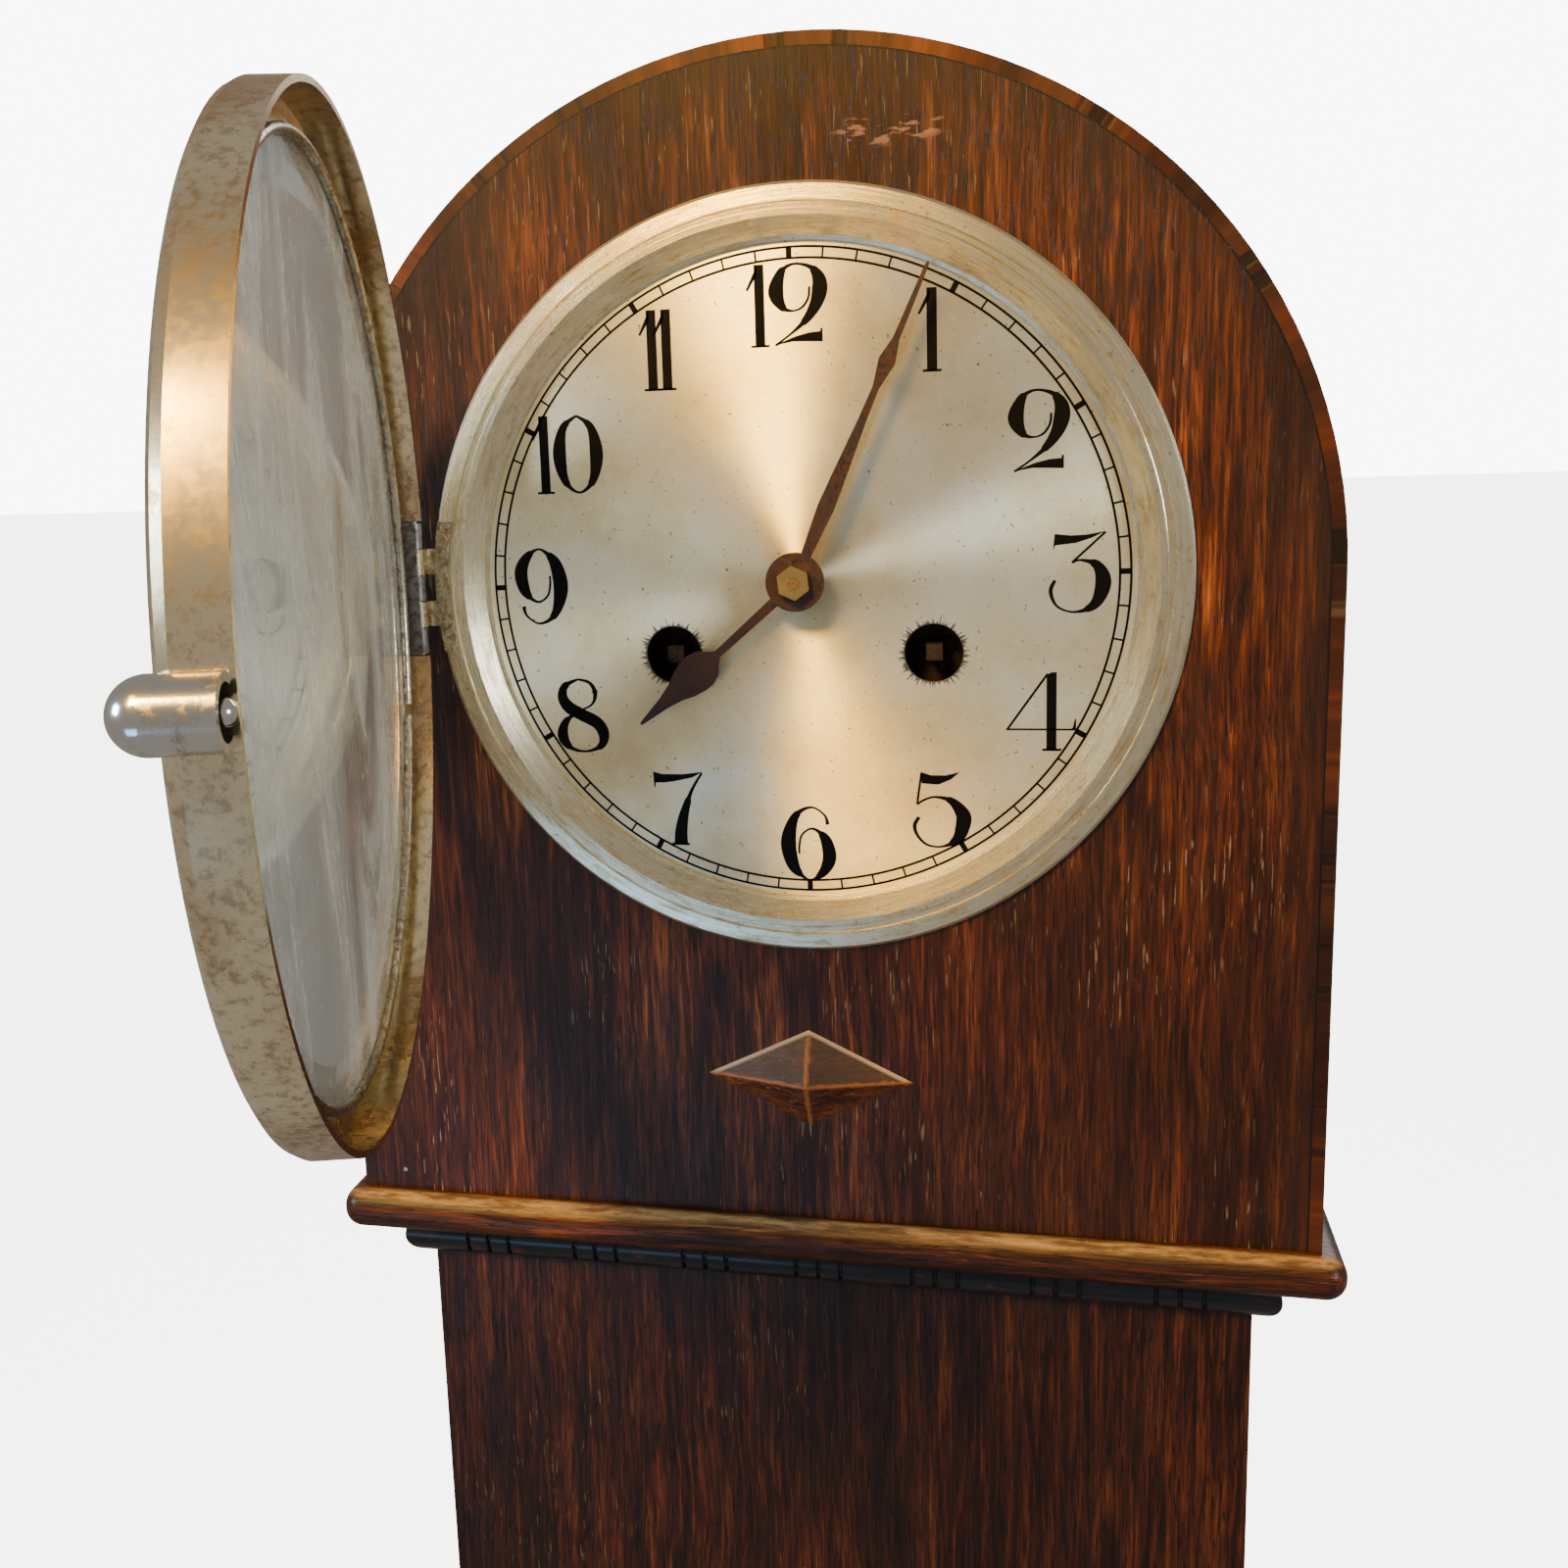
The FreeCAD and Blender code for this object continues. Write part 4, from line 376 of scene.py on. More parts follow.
def silvered():
    """The silvered dial sheet: matt, brushed in circles, with blotches, specks and rubbed winding holes."""
    paint = Paint("silvered_dial", Metallic=0.92, Anisotropic=0.93, Anisotropic_Rotation=0.25)
    paint.brush_in_circles()
    rings = paint.turned_rings(DIAL_LINES, 5)
    colour = paint.ramp(paint.noise((36, 36, 36), 5, 0.6), *DIAL_TINTS)
    colour = paint.blend(0.35, colour, paint.ramp(rings, *LINE_TINTS), "MULTIPLY")
    speck = paint.window(paint.noise((800, 800, 800), 2), 0.70, 0.73, 0.7)
    colour = paint.blend(speck, colour, DARK_SPECK)
    pale = paint.window(paint.noise((620, 620, 620), 2), 0.64, 0.69, 0.55)
    colour = paint.blend(pale, colour, PALE_SPECK)
    colour = paint.blend(scratched_holes(paint), colour, SCRATCHED)
    smear = paint.window(paint.noise((30, 30, 8), 5, 0.7, 1.2), 0.45, 0.75)
    paint.bump(rings, 0.10, 0.05 * MM)
    return paint.finish(colour, paint.plus(0.44, paint.times(smear, 0.07)))


def scratched_holes(paint):
    """Where a winding key has rubbed fine spokes and a thin dark rim round each winding hole."""
    away, turn = paint.about_winding_hole()
    spokes = paint.noise((13, 90, 1), 3, 0.7, vector=paint.join(turn, away, 0.0))
    length = paint.times(paint.window(spokes, 0.45, 0.75), SPOKE_LENGTH)
    beyond = paint.minus(away, paint.plus(length, WINDING_HOLE))
    return paint.window(beyond, 0.0, SPOKE_FADE, 0.0, 0.85)


SURROUND_LINES = 5200             # turned lines to the metre
SURROUND_BRIGHT, SURROUND_TARNISH = (0.86, 0.77, 0.55), (0.52, 0.38, 0.18)
SURROUND_GRIME = (0.12, 0.085, 0.05)
TARNISH_SHARE = 0.8


def surround_metal():
    """Nickelled brass turned about the dial's axis, with tarnish in streaks that follow the turning."""
    paint = Paint("surround_nickel", Metallic=1.0, Anisotropic=0.35, Anisotropic_Rotation=0.25)
    paint.brush_in_circles()
    rings = paint.turned_rings(SURROUND_LINES, 4)
    streaks = paint.noise((700, 9, 1), 5, 0.65, 0.3, paint.join(*paint.about_dial(), 0.0))
    spots = paint.noise((260, 260, 260), 5, 0.7)
    dulled = paint.plus(paint.times(streaks, 0.65), paint.times(spots, 0.35))
    tarnish = paint.window(dulled, 0.46, 0.64, TARNISH_SHARE)
    colour = paint.blend(tarnish, SURROUND_BRIGHT, SURROUND_TARNISH)
    grime = paint.window(paint.noise((620, 620, 620), 3), 0.64, 0.72, 0.6)
    colour = paint.blend(paint.times(grime, TARNISH_SHARE), colour, SURROUND_GRIME)
    paint.bump(rings, 0.3, 0.12 * MM)
    roughness = paint.plus(paint.times(tarnish, 0.10), paint.window(rings, 0.3, 0.7, 0.31, 0.21))
    return paint.finish(colour, roughness)


RING_BRIGHT, RING_BROWN, RING_GRAIN = (0.98, 0.84, 0.58), (0.46, 0.27, 0.12), (0.21, 0.125, 0.065)


def bezel_metal():
    """The door's spun ring: bright metal where hands rub it, mottled brown tarnish elsewhere."""
    paint = Paint("bezel_metal", Metallic=1.0)
    coarse = paint.noise((24, 24, 14), 2, 0.5)
    mottle = paint.noise((420, 420, 420), 6, 0.72, 0.3)
    tarnish = paint.window(paint.plus(paint.times(coarse, 0.8), paint.times(mottle, 0.2)), 0.40, 0.60)
    colour = paint.blend(paint.times(tarnish, 0.9), RING_BRIGHT, RING_BROWN)
    grain = paint.window(mottle, 0.48, 0.62, 0.45)
    colour = paint.blend(grain, colour, RING_GRAIN)
    paint.bump(mottle, 0.12, 0.1 * MM)
    return paint.finish(colour, paint.plus(0.16, paint.times(paint.plus(tarnish, grain), 0.13)))


LEAF_FROM, LEAF_TO = 4.8 * MM, 5.4 * MM               # from the hinge pin to where the flat leaf begins


def hinge_metal():
    """Dark steel knuckles on the pin, and beyond them a leaf tarnished like the surround it is riveted to."""
    paint = Paint("hinge_metal", Metallic=1.0)
    x, _, _ = paint.split()
    leaf = paint.window(x, HINGE_PIN_X + LEAF_FROM, HINGE_PIN_X + LEAF_TO)
    stain = paint.window(paint.noise((500, 500, 500), 5, 0.7), 0.42, 0.62)
    steel = paint.blend(stain, (0.34, 0.35, 0.36), (0.13, 0.115, 0.10))
    brass = paint.blend(stain, (0.60, 0.53, 0.38), (0.28, 0.20, 0.10))
    paint.bump(paint.noise((1500, 1500, 1500), 2), 0.15, 0.08 * MM)
    return paint.finish(paint.blend(leaf, steel, brass), paint.window(stain, 0.0, 1.0, 0.44, 0.24))


PIT_DEPTH = 0.08 * MM
PITS_PER_BLOTCH = 9


def plain_metal(name, colour_a, colour_b, rough_low, rough_high, scale=240, metallic=1.0, share=(0.42, 0.62)):
    """A metal between two colours, with fine pitting."""
    paint = Paint(name, Metallic=metallic)
    blotch = paint.window(paint.noise((scale, scale, scale), 6, 0.68, 0.4), *share)
    pits = paint.noise((scale * PITS_PER_BLOTCH,) * 3, 3)
    colour = paint.blend(blotch, colour_a, colour_b)
    paint.bump(pits, 0.16, PIT_DEPTH)
    return paint.finish(colour, paint.window(blotch, 0.0, 1.0, rough_high, rough_low))


def glass():
    """Old bevelled glass with wiped dust and haze."""
    paint = Paint("glass", Transmission_Weight=1.0, IOR=1.5, Base_Color=(0.93, 0.96, 0.94, 1.0))
    smear = paint.noise((26, 26, 9), 6, 0.72, 1.6)
    dust = paint.noise((420, 420, 420), 4, 0.7)
    haze = paint.plus(paint.window(smear, 0.42, 0.62, 0.40, 0.10), paint.window(dust, 0.56, 0.74, 0.22))
    paint.link(paint.window(smear, 0.35, 0.7, 0.16, 0.02), paint.shader.inputs["Roughness"])
    film = paint.tree.nodes.new("ShaderNodeBsdfDiffuse")
    film.inputs["Color"].default_value = (0.74, 0.77, 0.74, 1.0)
    mix = paint.tree.nodes.new("ShaderNodeMixShader")
    paint.link(haze, mix.inputs[0])
    paint.link(paint.shader.outputs[0], mix.inputs[1])
    paint.link(film.outputs[0], mix.inputs[2])
    paint.link(mix.outputs[0], paint.tree.nodes["Material Output"].inputs["Surface"])
    return paint.material


def ink():
    """Black dial wax, a little worn."""
    paint = Paint("dial_ink", Specular_IOR_Level=0.1)
    wear = paint.window(paint.noise((1300, 1300, 1300), 3), 0.62, 0.74, 0.12)
    colour = paint.blend(wear, (0.0015, 0.0015, 0.002), (0.06, 0.055, 0.045))
    return paint.finish(colour, paint.window(wear, 0, 1, 0.6, 0.45))


PAINTED_SHADOW_FROM, PAINTED_SHADOW_TO = 15.5 * MM, 21.5 * MM           # away from a winding arbor
PAINTED_SHADOW_RAGGED = 6 * MM
# The last colour is a painted shadow, near black.
BRASS, OLD_BRASS, PAINTED_SHADOW_BLACK = (0.62, 0.42, 0.16), (0.30, 0.18, 0.07), (0.004, 0.0035, 0.003)


def front_plate_brass():
    """The plate behind the dial: brass, painted near black as shadow round the winding arbors, where it shows
    through the winding holes.
    """
    paint = Paint("front_plate_brass", Metallic=1.0)
    away, _ = paint.about_winding_hole()
    away = paint.plus(away, paint.times(paint.noise((300, 300, 300), 3), PAINTED_SHADOW_RAGGED))
    # Painted shadow: near black and not metallic round the winding arbors.
    grime = paint.window(away, PAINTED_SHADOW_FROM, PAINTED_SHADOW_TO, 0.0, 0.97)
    brushed_brass = paint.blend(paint.noise((90, 90, 90), 4), BRASS, (0.40, 0.25, 0.09))
    colour = paint.blend(grime, brushed_brass, PAINTED_SHADOW_BLACK)
    paint.link(paint.window(grime, 0.0, 1.0, 0.0, 1.0), paint.shader.inputs["Metallic"])
    paint.bump(paint.noise((40, 2600, 2600), 2), 0.12, 0.06 * MM)
    return paint.finish(colour, paint.window(grime, 0.0, 1.0, 0.85, 0.3))


def make_finishes():
    """One material for each kind of surface."""
    return {
        "oak_front": oak("oak_hood_front", wear=hood_front_wear),
        # Painted shade: the dome's oak darkened to 0.8.
        "oak_shell": oak("oak_hood_shell", "ROUND", 0.8),
        # Painted shade: the trunk's oak darkened to 0.42, for the shade under the hood.
        "oak_trunk": oak("oak_trunk", light=0.42),
        "oak_upright": oak("oak_upright"),
        "oak_level": oak("oak_level", "X"),
        "oak_depth": oak("oak_depth", "Y"),
        # Painted light: the ornament's oak brightened 2.2 times.
        "oak_ornament": oak("oak_ornament", "X", 2.2, ornament_wear),
        # Painted shade: the rounded board's oak darkened to 0.75.
        "oak_torus": oak("oak_torus", "X", TORUS_PAINTED_SHADE, arris_wear),
        "oak_ebonised": ebonised(),
        "plywood": plywood(),
        "silvered": silvered(),
        "surround": surround_metal(),
        "bezel_metal": bezel_metal(),
        "wire": plain_metal("retaining_wire", (0.62, 0.60, 0.54), (0.30, 0.24, 0.15), 0.22, 0.4, 500),
        "knob": plain_metal("knob_nickel", (0.72, 0.70, 0.66), (0.40, 0.34, 0.26), 0.16, 0.38, 210,
                            share=(0.5, 0.68)),
        "glass": glass(),
        "hinge_leaf": hinge_metal(),
        "blued_steel": plain_metal("blued_steel_rusty", (0.016, 0.020, 0.036), (0.062, 0.025, 0.018),
                                   0.40, 0.62, 900, 0.6, (0.36, 0.60)),
        "front_plate": front_plate_brass(),
        # Partly rust, partly painted shade: the winding arbors near black, as they show in the winding holes.
        "arbor": plain_metal("arbor_rusty_and_painted_shade", (0.030, 0.018, 0.011), (0.009, 0.006, 0.005), 0.5, 0.7, 800, 0.5),
        "steel": plain_metal("steel", (0.50, 0.50, 0.49), (0.33, 0.31, 0.28), 0.24, 0.42),
        "hinge_steel": plain_metal("hinge_steel", (0.24, 0.24, 0.25), (0.11, 0.09, 0.07), 0.28, 0.5, 420),
        "nut_brass": plain_metal("nut_brass", (0.74, 0.51, 0.18), (0.60, 0.38, 0.12), 0.22, 0.32, 120),
        "brass": plain_metal("brass", BRASS, OLD_BRASS, 0.24, 0.42),
        "iron": plain_metal("iron", (0.05, 0.05, 0.052), (0.085, 0.06, 0.045), 0.45, 0.65),
        "ink": ink(),
    }


FINISH = make_finishes()

# What each CAD node is painted with, where its record slot alone doesn't say.
NODE_FINISH = {
    "hood_front": "oak_front", "hood_shell": "oak_shell", "torus_board": "oak_torus",
    "diamond_ornament": "oak_ornament", "base_board": "oak_level", "plinth_front": "oak_level",
    "plinth_left": "oak_depth", "plinth_right": "oak_depth", "seat_board": "oak_level",
    "dial_surround": "surround", "glass_retaining_ring": "wire", "bezel_knob": "knob",
    "hand_nut": "nut_brass", "dial": "silvered", "bezel_hinge_fixed_leaf": "hinge_leaf",
    "trunk_front": "oak_trunk", "trunk_left": "oak_trunk", "trunk_right": "oak_trunk",
    "front_plate": "front_plate", "going_winding_arbor": "arbor", "strike_winding_arbor": "arbor",
}
SLOT_FINISH = {"oak": "oak_upright"}


def paint_nodes():
    """Give every CAD node its material, from its own entry or from the record slot it was packed with."""
    for name, node in NODES.items():
        slot = node.data.materials[0].name
        material = FINISH[NODE_FINISH.get(name, SLOT_FINISH.get(slot, slot))]
        node.data.materials.clear()
        node.data.materials.append(material)


# ---------------------------------------------------------------- mesh helpers

def add_mesh(name, verts, faces, material, body, smooth=False):
    """A new piece of the object, riding on a CAD body."""
    mesh = bpy.data.meshes.new(name)
    mesh.from_pydata([tuple(v) for v in verts], [], faces)
    mesh.materials.append(material)
    mesh.validate()
    piece = bpy.data.objects.new(name, mesh)
    bpy.context.scene.collection.objects.link(piece)
    for polygon in mesh.polygons:
        polygon.use_smooth = smooth
    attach(piece, body)
    return piece


CRISP_ARRIS = math.radians(32)


def smooth_rounds(node):
    """Round surfaces shade smoothly and arrises stay crisp."""
    modifier = node.modifiers.new("edges", "EDGE_SPLIT")
    modifier.split_angle = CRISP_ARRIS
    for polygon in node.data.polygons:
        polygon.use_smooth = True


# ---------------------------------------------------------------- dial printing

NUMERAL_HEIGHT = 21 * MM
NUMERAL_CIRCLE = 72.8 * MM
WIDE_NUMERAL_STEP = 1.3 * MM      # numbers of two figures stand this much nearer the middle
DIAL_TILT = math.radians(-0.6)
BOLD = 1.38
TRACK_INNER = 83.2 * MM
TRACK_OUTER = 86.0 * MM
RING_LINE = 0.62 * MM
LINE = 0.52 * MM
MARK = 1.5 * MM
INK_LIFT = 0.04 * MM
HAIR = 0.03

# Each figure on a height of 1: its width, its brush strokes as (x, y, width) and its flat shapes as (x, y).
ONE_STEM = [(-0.062, 1.0), (0.062, 1.0), (0.062, 0.01), (-0.062, 0.01)]
ONE_FLAG = [(-0.02, 1.0), (-0.17, 0.70), (-0.145, 0.685), (-0.03, 0.87)]
ONE_FOOT = [(-0.115, 0.0), (0.115, 0.0), (0.115, HAIR), (-0.115, HAIR)]
SIX = [(0.60, 0.76, 0.055), (0.56, 0.888, 0.03), (0.385, 0.99, HAIR), (0.176, 0.87, 0.075),
       (0.074, 0.535, 0.145), (0.128, 0.215, 0.12), (0.256, 0.054, 0.05), (0.378, 0.01, HAIR),
       (0.53, 0.12, 0.09), (0.615, 0.31, 0.13), (0.577, 0.535, 0.11), (0.48, 0.663, 0.05),
       (0.37, 0.70, HAIR), (0.256, 0.615, HAIR), (0.218, 0.47, 0.03), (0.218, 0.36, 0.028)]
SIX_WIDTH = 0.69
FIGURES = {
    "0": (0.63, [[(0.315, 0.99, HAIR), (0.13, 0.84, 0.075), (0.065, 0.5, 0.13), (0.13, 0.16, 0.075),
                  (0.315, 0.01, HAIR), (0.50, 0.16, 0.075), (0.565, 0.5, 0.13), (0.50, 0.84, 0.075),
                  (0.315, 0.99, HAIR)]], []),
    "1": (0.10, [], [ONE_STEM, ONE_FLAG, ONE_FOOT]),
    "2": (0.69, [[(0.49, 0.706, HAIR), (0.478, 0.58, HAIR), (0.40, 0.465, HAIR), (0.28, 0.425, 0.025),
                  (0.155, 0.47, 0.07), (0.07, 0.65, 0.14), (0.125, 0.86, 0.09), (0.21, 0.955, 0.045),
                  (0.345, 0.985, HAIR), (0.52, 0.93, 0.06), (0.61, 0.80, 0.12), (0.617, 0.65, 0.14),
                  (0.56, 0.48, 0.11), (0.44, 0.31, 0.07), (0.25, 0.15, 0.03), (0.05, 0.015, HAIR)]],
          [[(0.03, 0.0), (0.12, 0.03), (0.27, 0.055), (0.45, 0.05), (0.645, 0.04), (0.645, 0.205),
            (0.62, 0.2), (0.615, 0.165), (0.47, 0.155), (0.30, 0.115), (0.15, 0.06)]]),
    "3": (0.74, [[(0.29, 0.62, HAIR), (0.40, 0.65, HAIR), (0.59, 0.585, 0.085), (0.667, 0.375, 0.14),
                  (0.57, 0.11, 0.09), (0.3375, 0.012, HAIR), (0.12, 0.08, 0.03), (0.035, 0.265, 0.05),
                  (0.0875, 0.406, 0.04)], [(0.69, 0.99, HAIR), (0.49, 0.805, HAIR), (0.29, 0.62, HAIR)]],
          [[(0.06, 0.766), (0.0875, 0.834), (0.3375, 0.86), (0.525, 0.92), (0.697, 1.0), (0.4625, 0.96),
            (0.275, 0.953), (0.081, 0.975)]]),
    "4": (0.86, [[(0.51, 0.98, HAIR), (0.26, 0.625, HAIR), (0.015, 0.275, HAIR)]],
          [[(0.497, 0.97), (0.56, 1.0), (0.62, 1.0), (0.62, 0.0), (0.497, 0.0)],
           [(0.0, 0.262), (0.86, 0.262), (0.86, 0.286), (0.0, 0.286)],
           [(0.78, 0.27), (0.86, 0.27), (0.86, 0.41), (0.845, 0.41), (0.82, 0.30)],
           [(0.447, 0.0), (0.68, 0.0), (0.68, HAIR), (0.447, HAIR)]]),
    "5": (0.74, [[(0.126, 0.985, HAIR), (0.095, 0.78, HAIR), (0.066, 0.568, HAIR)],
                 [(0.066, 0.568, HAIR), (0.16, 0.63, HAIR), (0.30, 0.668, HAIR), (0.50, 0.62, 0.07),
                  (0.64, 0.46, 0.13), (0.655, 0.33, 0.14), (0.58, 0.12, 0.10), (0.40, 0.018, 0.03),
                  (0.20, 0.03, HAIR), (0.07, 0.15, 0.04), (0.03, 0.29, 0.05), (0.09, 0.40, 0.045)]],
          [[(0.12, 0.994), (0.246, 0.953), (0.435, 0.953), (0.618, 1.0), (0.498, 0.90), (0.34, 0.83),
            (0.126, 0.845)]]),
    "6": (SIX_WIDTH, [SIX], []),
    "7": (0.68, [[(0.665, 0.985, HAIR), (0.517, 0.74, 0.045), (0.41, 0.44, 0.09), (0.36, 0.2, 0.12),
                  (0.352, 0.0, 0.135)]],
          [[(0.0, 1.0), (0.13, 0.967), (0.40, 0.967), (0.677, 1.0), (0.53, 0.923), (0.30, 0.873),
            (0.167, 0.853), (0.033, 0.85), (0.027, 0.79), (0.01, 0.79)],
           [(0.227, 0.0), (0.467, 0.0), (0.467, HAIR), (0.227, HAIR)]]),
    "8": (0.70, [[(0.31, 0.988, HAIR), (0.13, 0.90, 0.07), (0.085, 0.75, 0.10), (0.17, 0.61, 0.12),
                  (0.343, 0.51, 0.12), (0.55, 0.40, 0.12), (0.635, 0.25, 0.11), (0.59, 0.09, 0.07),
                  (0.38, 0.012, HAIR), (0.17, 0.06, 0.06), (0.065, 0.22, 0.11), (0.12, 0.42, 0.07),
                  (0.31, 0.555, HAIR), (0.49, 0.65, 0.03), (0.54, 0.80, 0.06), (0.47, 0.94, 0.045),
                  (0.31, 0.988, HAIR)]], []),
    "9": (SIX_WIDTH, [[(SIX_WIDTH - x, 1.0 - y, width) for x, y, width in SIX]], []),
}
FIGURE_GAP = 0.09
STROKE_STEPS = 7


def spline(points, steps):
    """A smooth line through the points."""
    ends = [points[0], *points, points[-1]]
    line = []
    for before, start, end, after in zip(ends, ends[1:], ends[2:], ends[3:]):
        for step in range(steps):
            t = step / steps
            line.append(tuple(0.5 * (2 * b + (c - a) * t + (2 * a - 5 * b + 4 * c - d) * t * t
                                     + (3 * b - a - 3 * c + d) * t ** 3)
                              for a, b, c, d in zip(before, start, end, after)))
    return line + [points[-1]]


def brushed(stroke):
    """The two sides of a stroke of changing width."""
    line = spline(stroke, STROKE_STEPS)
    left, right = [], []
    for index, (x, y, width) in enumerate(line):
        ahead = line[min(index + 1, len(line) - 1)]
        behind = line[max(index - 1, 0)]
        dx, dy = ahead[0] - behind[0], ahead[1] - behind[1]
        length = math.hypot(dx, dy) or 1.0
        half = (width * BOLD if width > 2 * HAIR else width) / 2
        left.append((x - dy / length * half, y + dx / length * half))
        right.append((x + dy / length * half, y - dx / length * half))
    return left, right


def number_shapes(text):
    """Flat polygons of a number, its width centred on zero and its height on a half."""
    widths = [FIGURES[sign][0] for sign in text]
    total = sum(widths) + FIGURE_GAP * (len(text) - 1)
    at = -total / 2
    polygons = []
    for sign, width in zip(text, widths):
        shift = at + (width / 2 if sign == "1" else 0.0)
        for stroke in FIGURES[sign][1]:
            left, right = brushed(stroke)
            for index in range(len(left) - 1):
                polygons.append([(x + shift, y) for x, y in (left[index], right[index], right[index + 1],
                                                             left[index + 1])])
        polygons += [[(x + shift, y) for x, y in shape] for shape in FIGURES[sign][2]]
        at += width + FIGURE_GAP
    return polygons


def print_on_dial(name, polygons):
    """Lay flat polygons, given as (x, z) about the dial centre, on the dial face."""
    verts, faces = [], []
    for polygon in polygons:
        start = len(verts)
        verts += [(x, DIAL_FACE - INK_LIFT, CENTRE_Z + z) for x, z in polygon]
        faces.append(list(range(start, len(verts))))
    piece = add_mesh(name, verts, faces, FINISH["ink"], "case")
    skin = piece.modifiers.new("thickness", "SOLIDIFY")
    skin.thickness = INK_LIFT * 0.5
    skin.offset = 0.0


def numerals():
    """The twelve hours, upright, round the dial."""
    for hour in range(1, 13):
        angle = math.tau * hour / 12 + DIAL_TILT
        circle = NUMERAL_CIRCLE - (WIDE_NUMERAL_STEP if hour > 9 else 0.0)
        middle_x, middle_z = circle * math.sin(angle), circle * math.cos(angle)
        polygons = []
        for shape in number_shapes(str(hour)):
            polygons.append([(middle_x + x * NUMERAL_HEIGHT, middle_z + (y - 0.5) * NUMERAL_HEIGHT)
                             for x, y in shape])
        print_on_dial(f"numeral_{hour}", polygons)


def ring_polygons(radius, width, count=240):
    """A flat ring about the dial centre as short quadrilaterals."""
    inner, outer = radius - width / 2, radius + width / 2
    polygons = []
    for step in range(count):
        first, second = math.tau * step / count, math.tau * (step + 1) / count
        polygons.append([(inner * math.sin(first), inner * math.cos(first)),
                         (outer * math.sin(first), outer * math.cos(first)),
                         (outer * math.sin(second), outer * math.cos(second)),
                         (inner * math.sin(second), inner * math.cos(second))])
    return polygons


def minute_track():
    """Two thin circles with sixty divisions, every fifth one thick."""
    circles = ring_polygons(TRACK_INNER, RING_LINE) + ring_polygons(TRACK_OUTER, RING_LINE)
    print_on_dial("minute_circles", circles)
    marks = []
    for minute in range(60):
        angle = math.tau * minute / 60 + DIAL_TILT
        half = (MARK if minute % 5 == 0 else LINE) / 2
        along = (math.sin(angle), math.cos(angle))
        across = (along[1], -along[0])
        marks.append([(along[0] * reach + across[0] * side, along[1] * reach + across[1] * side)
                      for reach, side in ((TRACK_INNER, -half), (TRACK_OUTER, -half), (TRACK_OUTER, half),
                                          (TRACK_INNER, half))])
    print_on_dial("minute_marks", marks)


# ---------------------------------------------------------------- small fittings

NAIL_FROM_EDGE, NAIL_ABOVE_BOARD = 9.5 * MM, 6.0 * MM
NAIL_RADIUS, NAIL_RISE, NAIL_SUNK = 0.85 * MM, 0.12 * MM, 0.02 * MM


def nail_head(sides=20, rings=4):
    """The small bright domed nail low on the left of the hood front."""
    place = Vector((HOOD_LOW.x + NAIL_FROM_EDGE, HOOD_LOW.y, TORUS_HIGH.z + NAIL_ABOVE_BOARD))
    verts, faces = [place + Vector((0.0, -NAIL_RISE, 0.0))], []
    for ring in range(1, rings + 1):
        share = ring / rings
        for side in range(sides):
            turn = math.tau * side / sides
            verts.append(place + Vector((NAIL_RADIUS * share * math.cos(turn),
                                         NAIL_SUNK - NAIL_RISE * (1 - share ** 2),
                                         NAIL_RADIUS * share * math.sin(turn))))
    for side in range(sides):
        faces.append([0, 1 + (side + 1) % sides, 1 + side])
        for ring in range(rings - 1):
            a, b = 1 + ring * sides, 1 + (ring + 1) * sides
            faces.append([a + side, a + (side + 1) % sides, b + (side + 1) % sides, b + side])
    add_mesh("nail_head", verts, faces, FINISH["steel"], "case", smooth=True)


# ---------------------------------------------------------------- lights, stage and camera

FLOOR_HALF = 60.0
FLOOR_SHADES = ((0.3, (0.88, 0.875, 0.865)), (0.7, (0.92, 0.915, 0.905)))
FLOOR_GLOW, FLOOR_GLOW_COLOUR = 5.0, (1.0, 0.995, 0.985, 1.0)


def stage():
    """A plain pale floor that gives the object no light of its own."""
    corners = [(-FLOOR_HALF, -FLOOR_HALF, 0), (FLOOR_HALF, -FLOOR_HALF, 0), (FLOOR_HALF, FLOOR_HALF, 0),
               (-FLOOR_HALF, FLOOR_HALF, 0)]
    mesh = bpy.data.meshes.new("floor")
    mesh.from_pydata(corners, [], [[0, 1, 2, 3]])
    floor = bpy.data.objects.new("floor", mesh)
    bpy.context.scene.collection.objects.link(floor)
    paint = Paint("floor", Specular_IOR_Level=0.1, Emission_Strength=FLOOR_GLOW,
                  Emission_Color=FLOOR_GLOW_COLOUR)
    shade = paint.ramp(paint.noise((2, 2, 2)), *FLOOR_SHADES)
    mesh.materials.append(paint.finish(shade, paint.noise((3, 3, 3))))
    floor.visible_diffuse = False
    floor.visible_glossy = False
    floor.visible_transmission = False


# Lamps: place from the floor's origin but with heights from the dial centre, size, power and colour.
LAMPS = {
    "key": ((-0.50, -1.45, 1.15), (0.42, 0.42), 78, (1.0, 0.58, 0.10)),
    "left": ((-1.9, -1.15, 0.55), (0.6, 0.6), 36, (0.74, 0.88, 1.0)),
    "right": ((1.9, -1.25, 0.45), (0.6, 0.6), 24, (0.86, 0.94, 1.0)),
    "low": ((-0.7, -1.7, -0.95), (0.8, 0.4), 3.5, (0.26, 0.56, 1.0)),
    "back": ((0.8, 2.2, 1.2), (1.8, 1.8), 45, (1.0, 0.97, 0.93)),
}
SKY_COLOUR, SKY_STRENGTH = (1.0, 0.95, 0.86, 1.0), 0.31
BACKDROP_COLOUR, BACKDROP_STRENGTH = (1.0, 1.0, 1.0, 1.0), 9.0


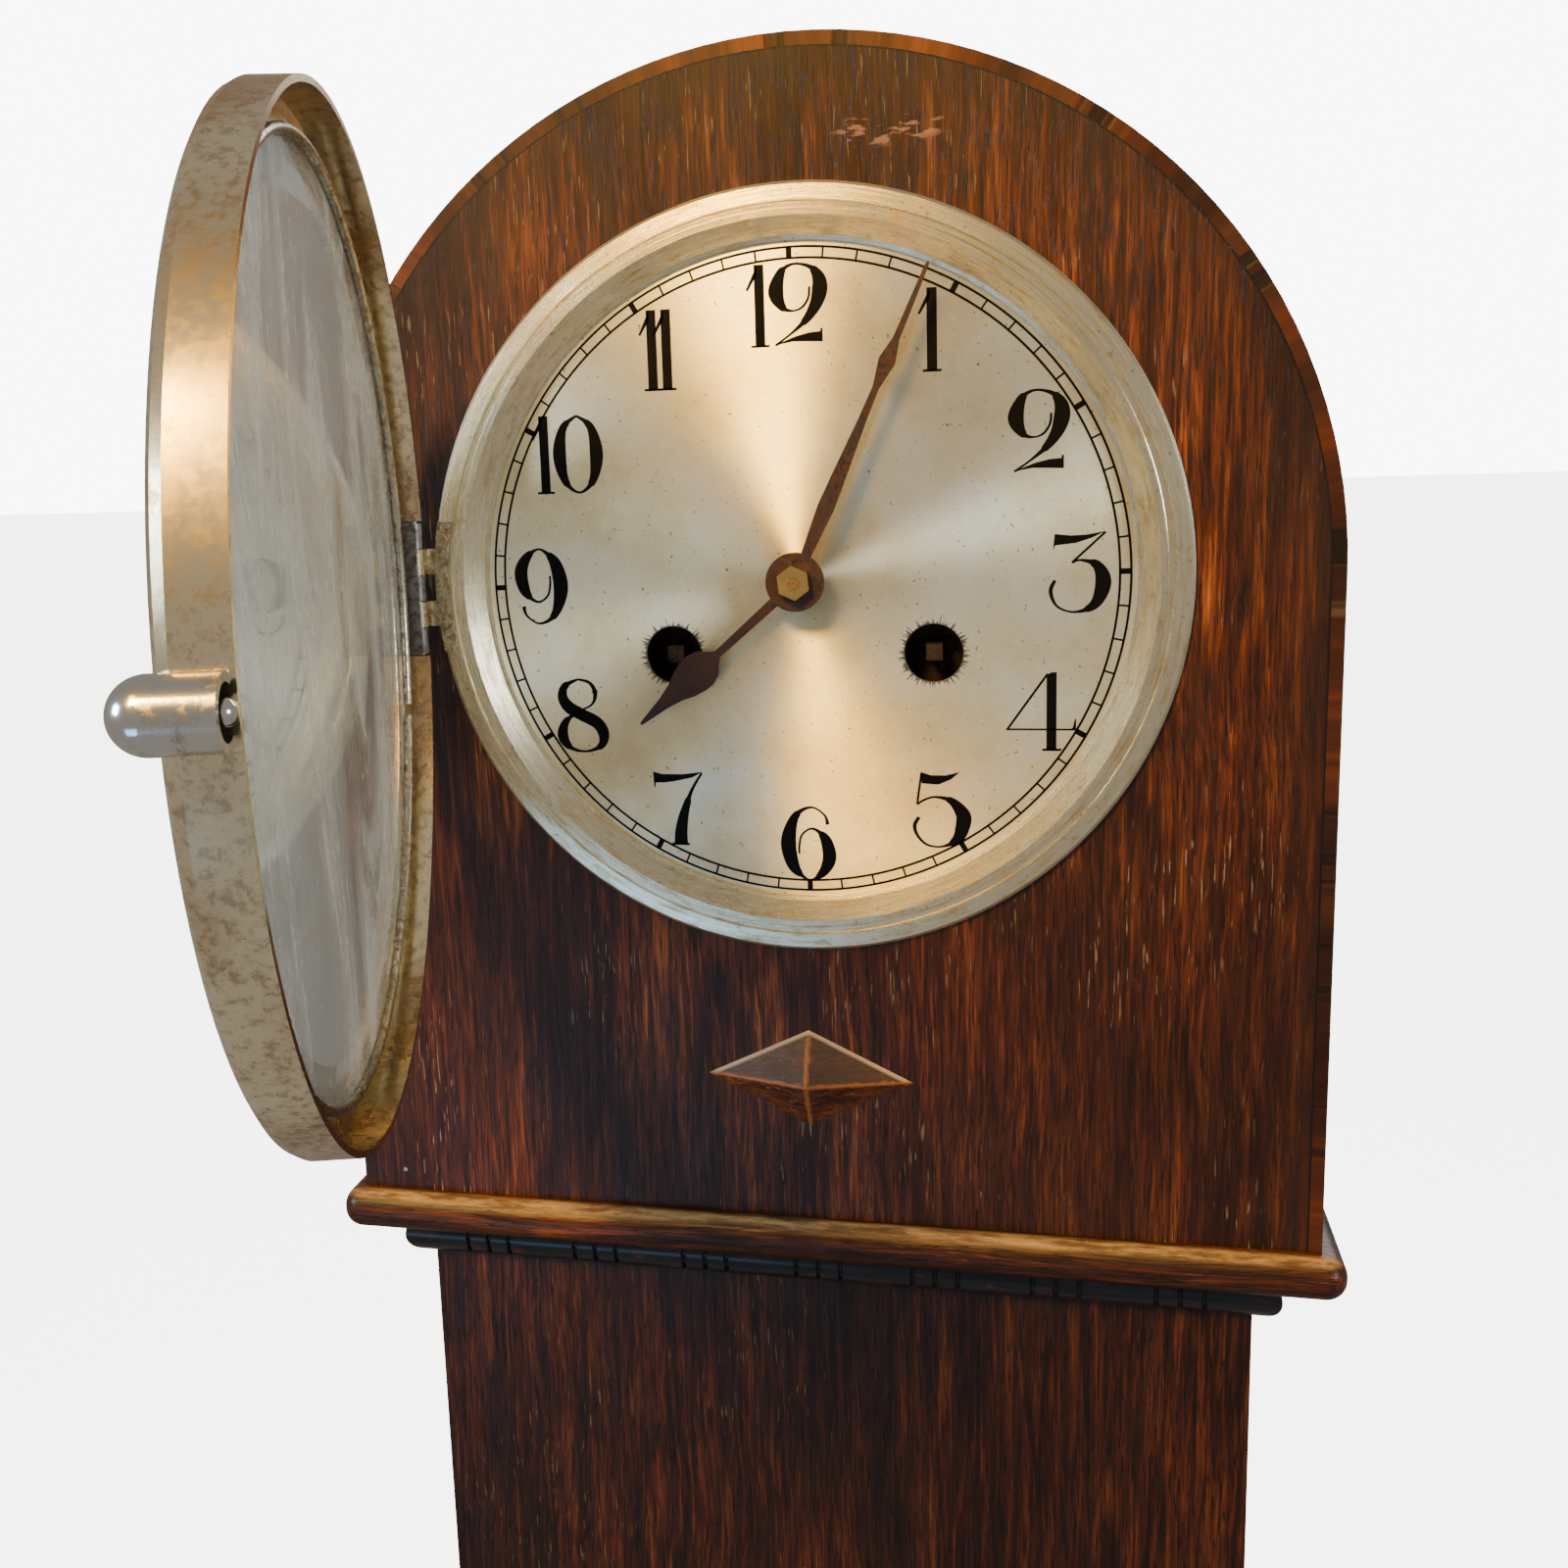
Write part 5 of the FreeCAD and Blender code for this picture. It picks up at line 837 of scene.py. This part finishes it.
def lamps():
    """Soft lamps that all point at the middle of the dial."""
    centre = Vector((0.0, DIAL_FACE, CENTRE_Z))
    for name, ((x, y, above), size, power, colour) in LAMPS.items():
        lamp = bpy.data.lights.new(name, "AREA")
        lamp.shape = "RECTANGLE"
        lamp.size, lamp.size_y = size
        lamp.energy = power
        lamp.color = colour
        item = bpy.data.objects.new(name, lamp)
        bpy.context.scene.collection.objects.link(item)
        item.location = (x, y, CENTRE_Z + above)
        item.rotation_euler = (centre - item.location).to_track_quat("-Z", "Y").to_euler()


def sky():
    """Dim light from all round, and a white backdrop where the object isn't."""
    world = bpy.data.worlds.new("studio")
    world.use_nodes = True
    bpy.context.scene.world = world
    tree = world.node_tree
    light, backdrop = tree.nodes["Background"], tree.nodes.new("ShaderNodeBackground")
    for node, colour, strength in ((light, SKY_COLOUR, SKY_STRENGTH),
                                   (backdrop, BACKDROP_COLOUR, BACKDROP_STRENGTH)):
        node.inputs["Color"].default_value = colour
        node.inputs["Strength"].default_value = strength
    mix = tree.nodes.new("ShaderNodeMixShader")
    path = tree.nodes.new("ShaderNodeLightPath")
    tree.links.new(path.outputs["Is Camera Ray"], mix.inputs[0])
    tree.links.new(light.outputs[0], mix.inputs[1])
    tree.links.new(backdrop.outputs[0], mix.inputs[2])
    tree.links.new(mix.outputs[0], tree.nodes["World Output"].inputs["Surface"])


# Camera: its place from the middle of the surround's face, its turn, its lens and the shift of its frame.
CAMERA_FROM_DIAL = (64.4 * MM, -392.5 * MM, 31.4 * MM)
PITCH, YAW, ROLL = (math.radians(degrees) for degrees in (9.765, 12.042, -1.864))
SENSOR, LENS = 36.0, 34.48125
SHIFT_X, SHIFT_Y = 0.0349375, -0.0396875
NEAREST = 10 * MM


def camera():
    """Looks along +Y, then pitched down, turned left and rolled."""
    level = Matrix(((1, 0, 0), (0, 0, -1), (0, 1, 0)))
    turn = Matrix.Rotation(ROLL, 3, "Z") @ Matrix.Rotation(PITCH, 3, "X") @ Matrix.Rotation(YAW, 3, "Y")
    right, down, ahead = (Vector(row) for row in turn @ level)
    item = bpy.data.objects.new("camera", bpy.data.cameras.new("camera"))
    bpy.context.scene.collection.objects.link(item)
    place = Vector((0.0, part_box("dial_surround")[0].y, CENTRE_Z)) + Vector(CAMERA_FROM_DIAL)
    item.matrix_world = Matrix.Translation(place) @ Matrix((right, -down, -ahead)).transposed().to_4x4()
    item.data.sensor_width = SENSOR
    item.data.lens = LENS
    item.data.shift_x, item.data.shift_y = SHIFT_X, SHIFT_Y
    item.data.clip_start = NEAREST
    bpy.context.scene.camera = item


# ---------------------------------------------------------------- the scene

paint_nodes()
numerals()
minute_track()
nail_head()
for node in NODES.values():
    smooth_rounds(node)
stage()
lamps()
sky()
camera()
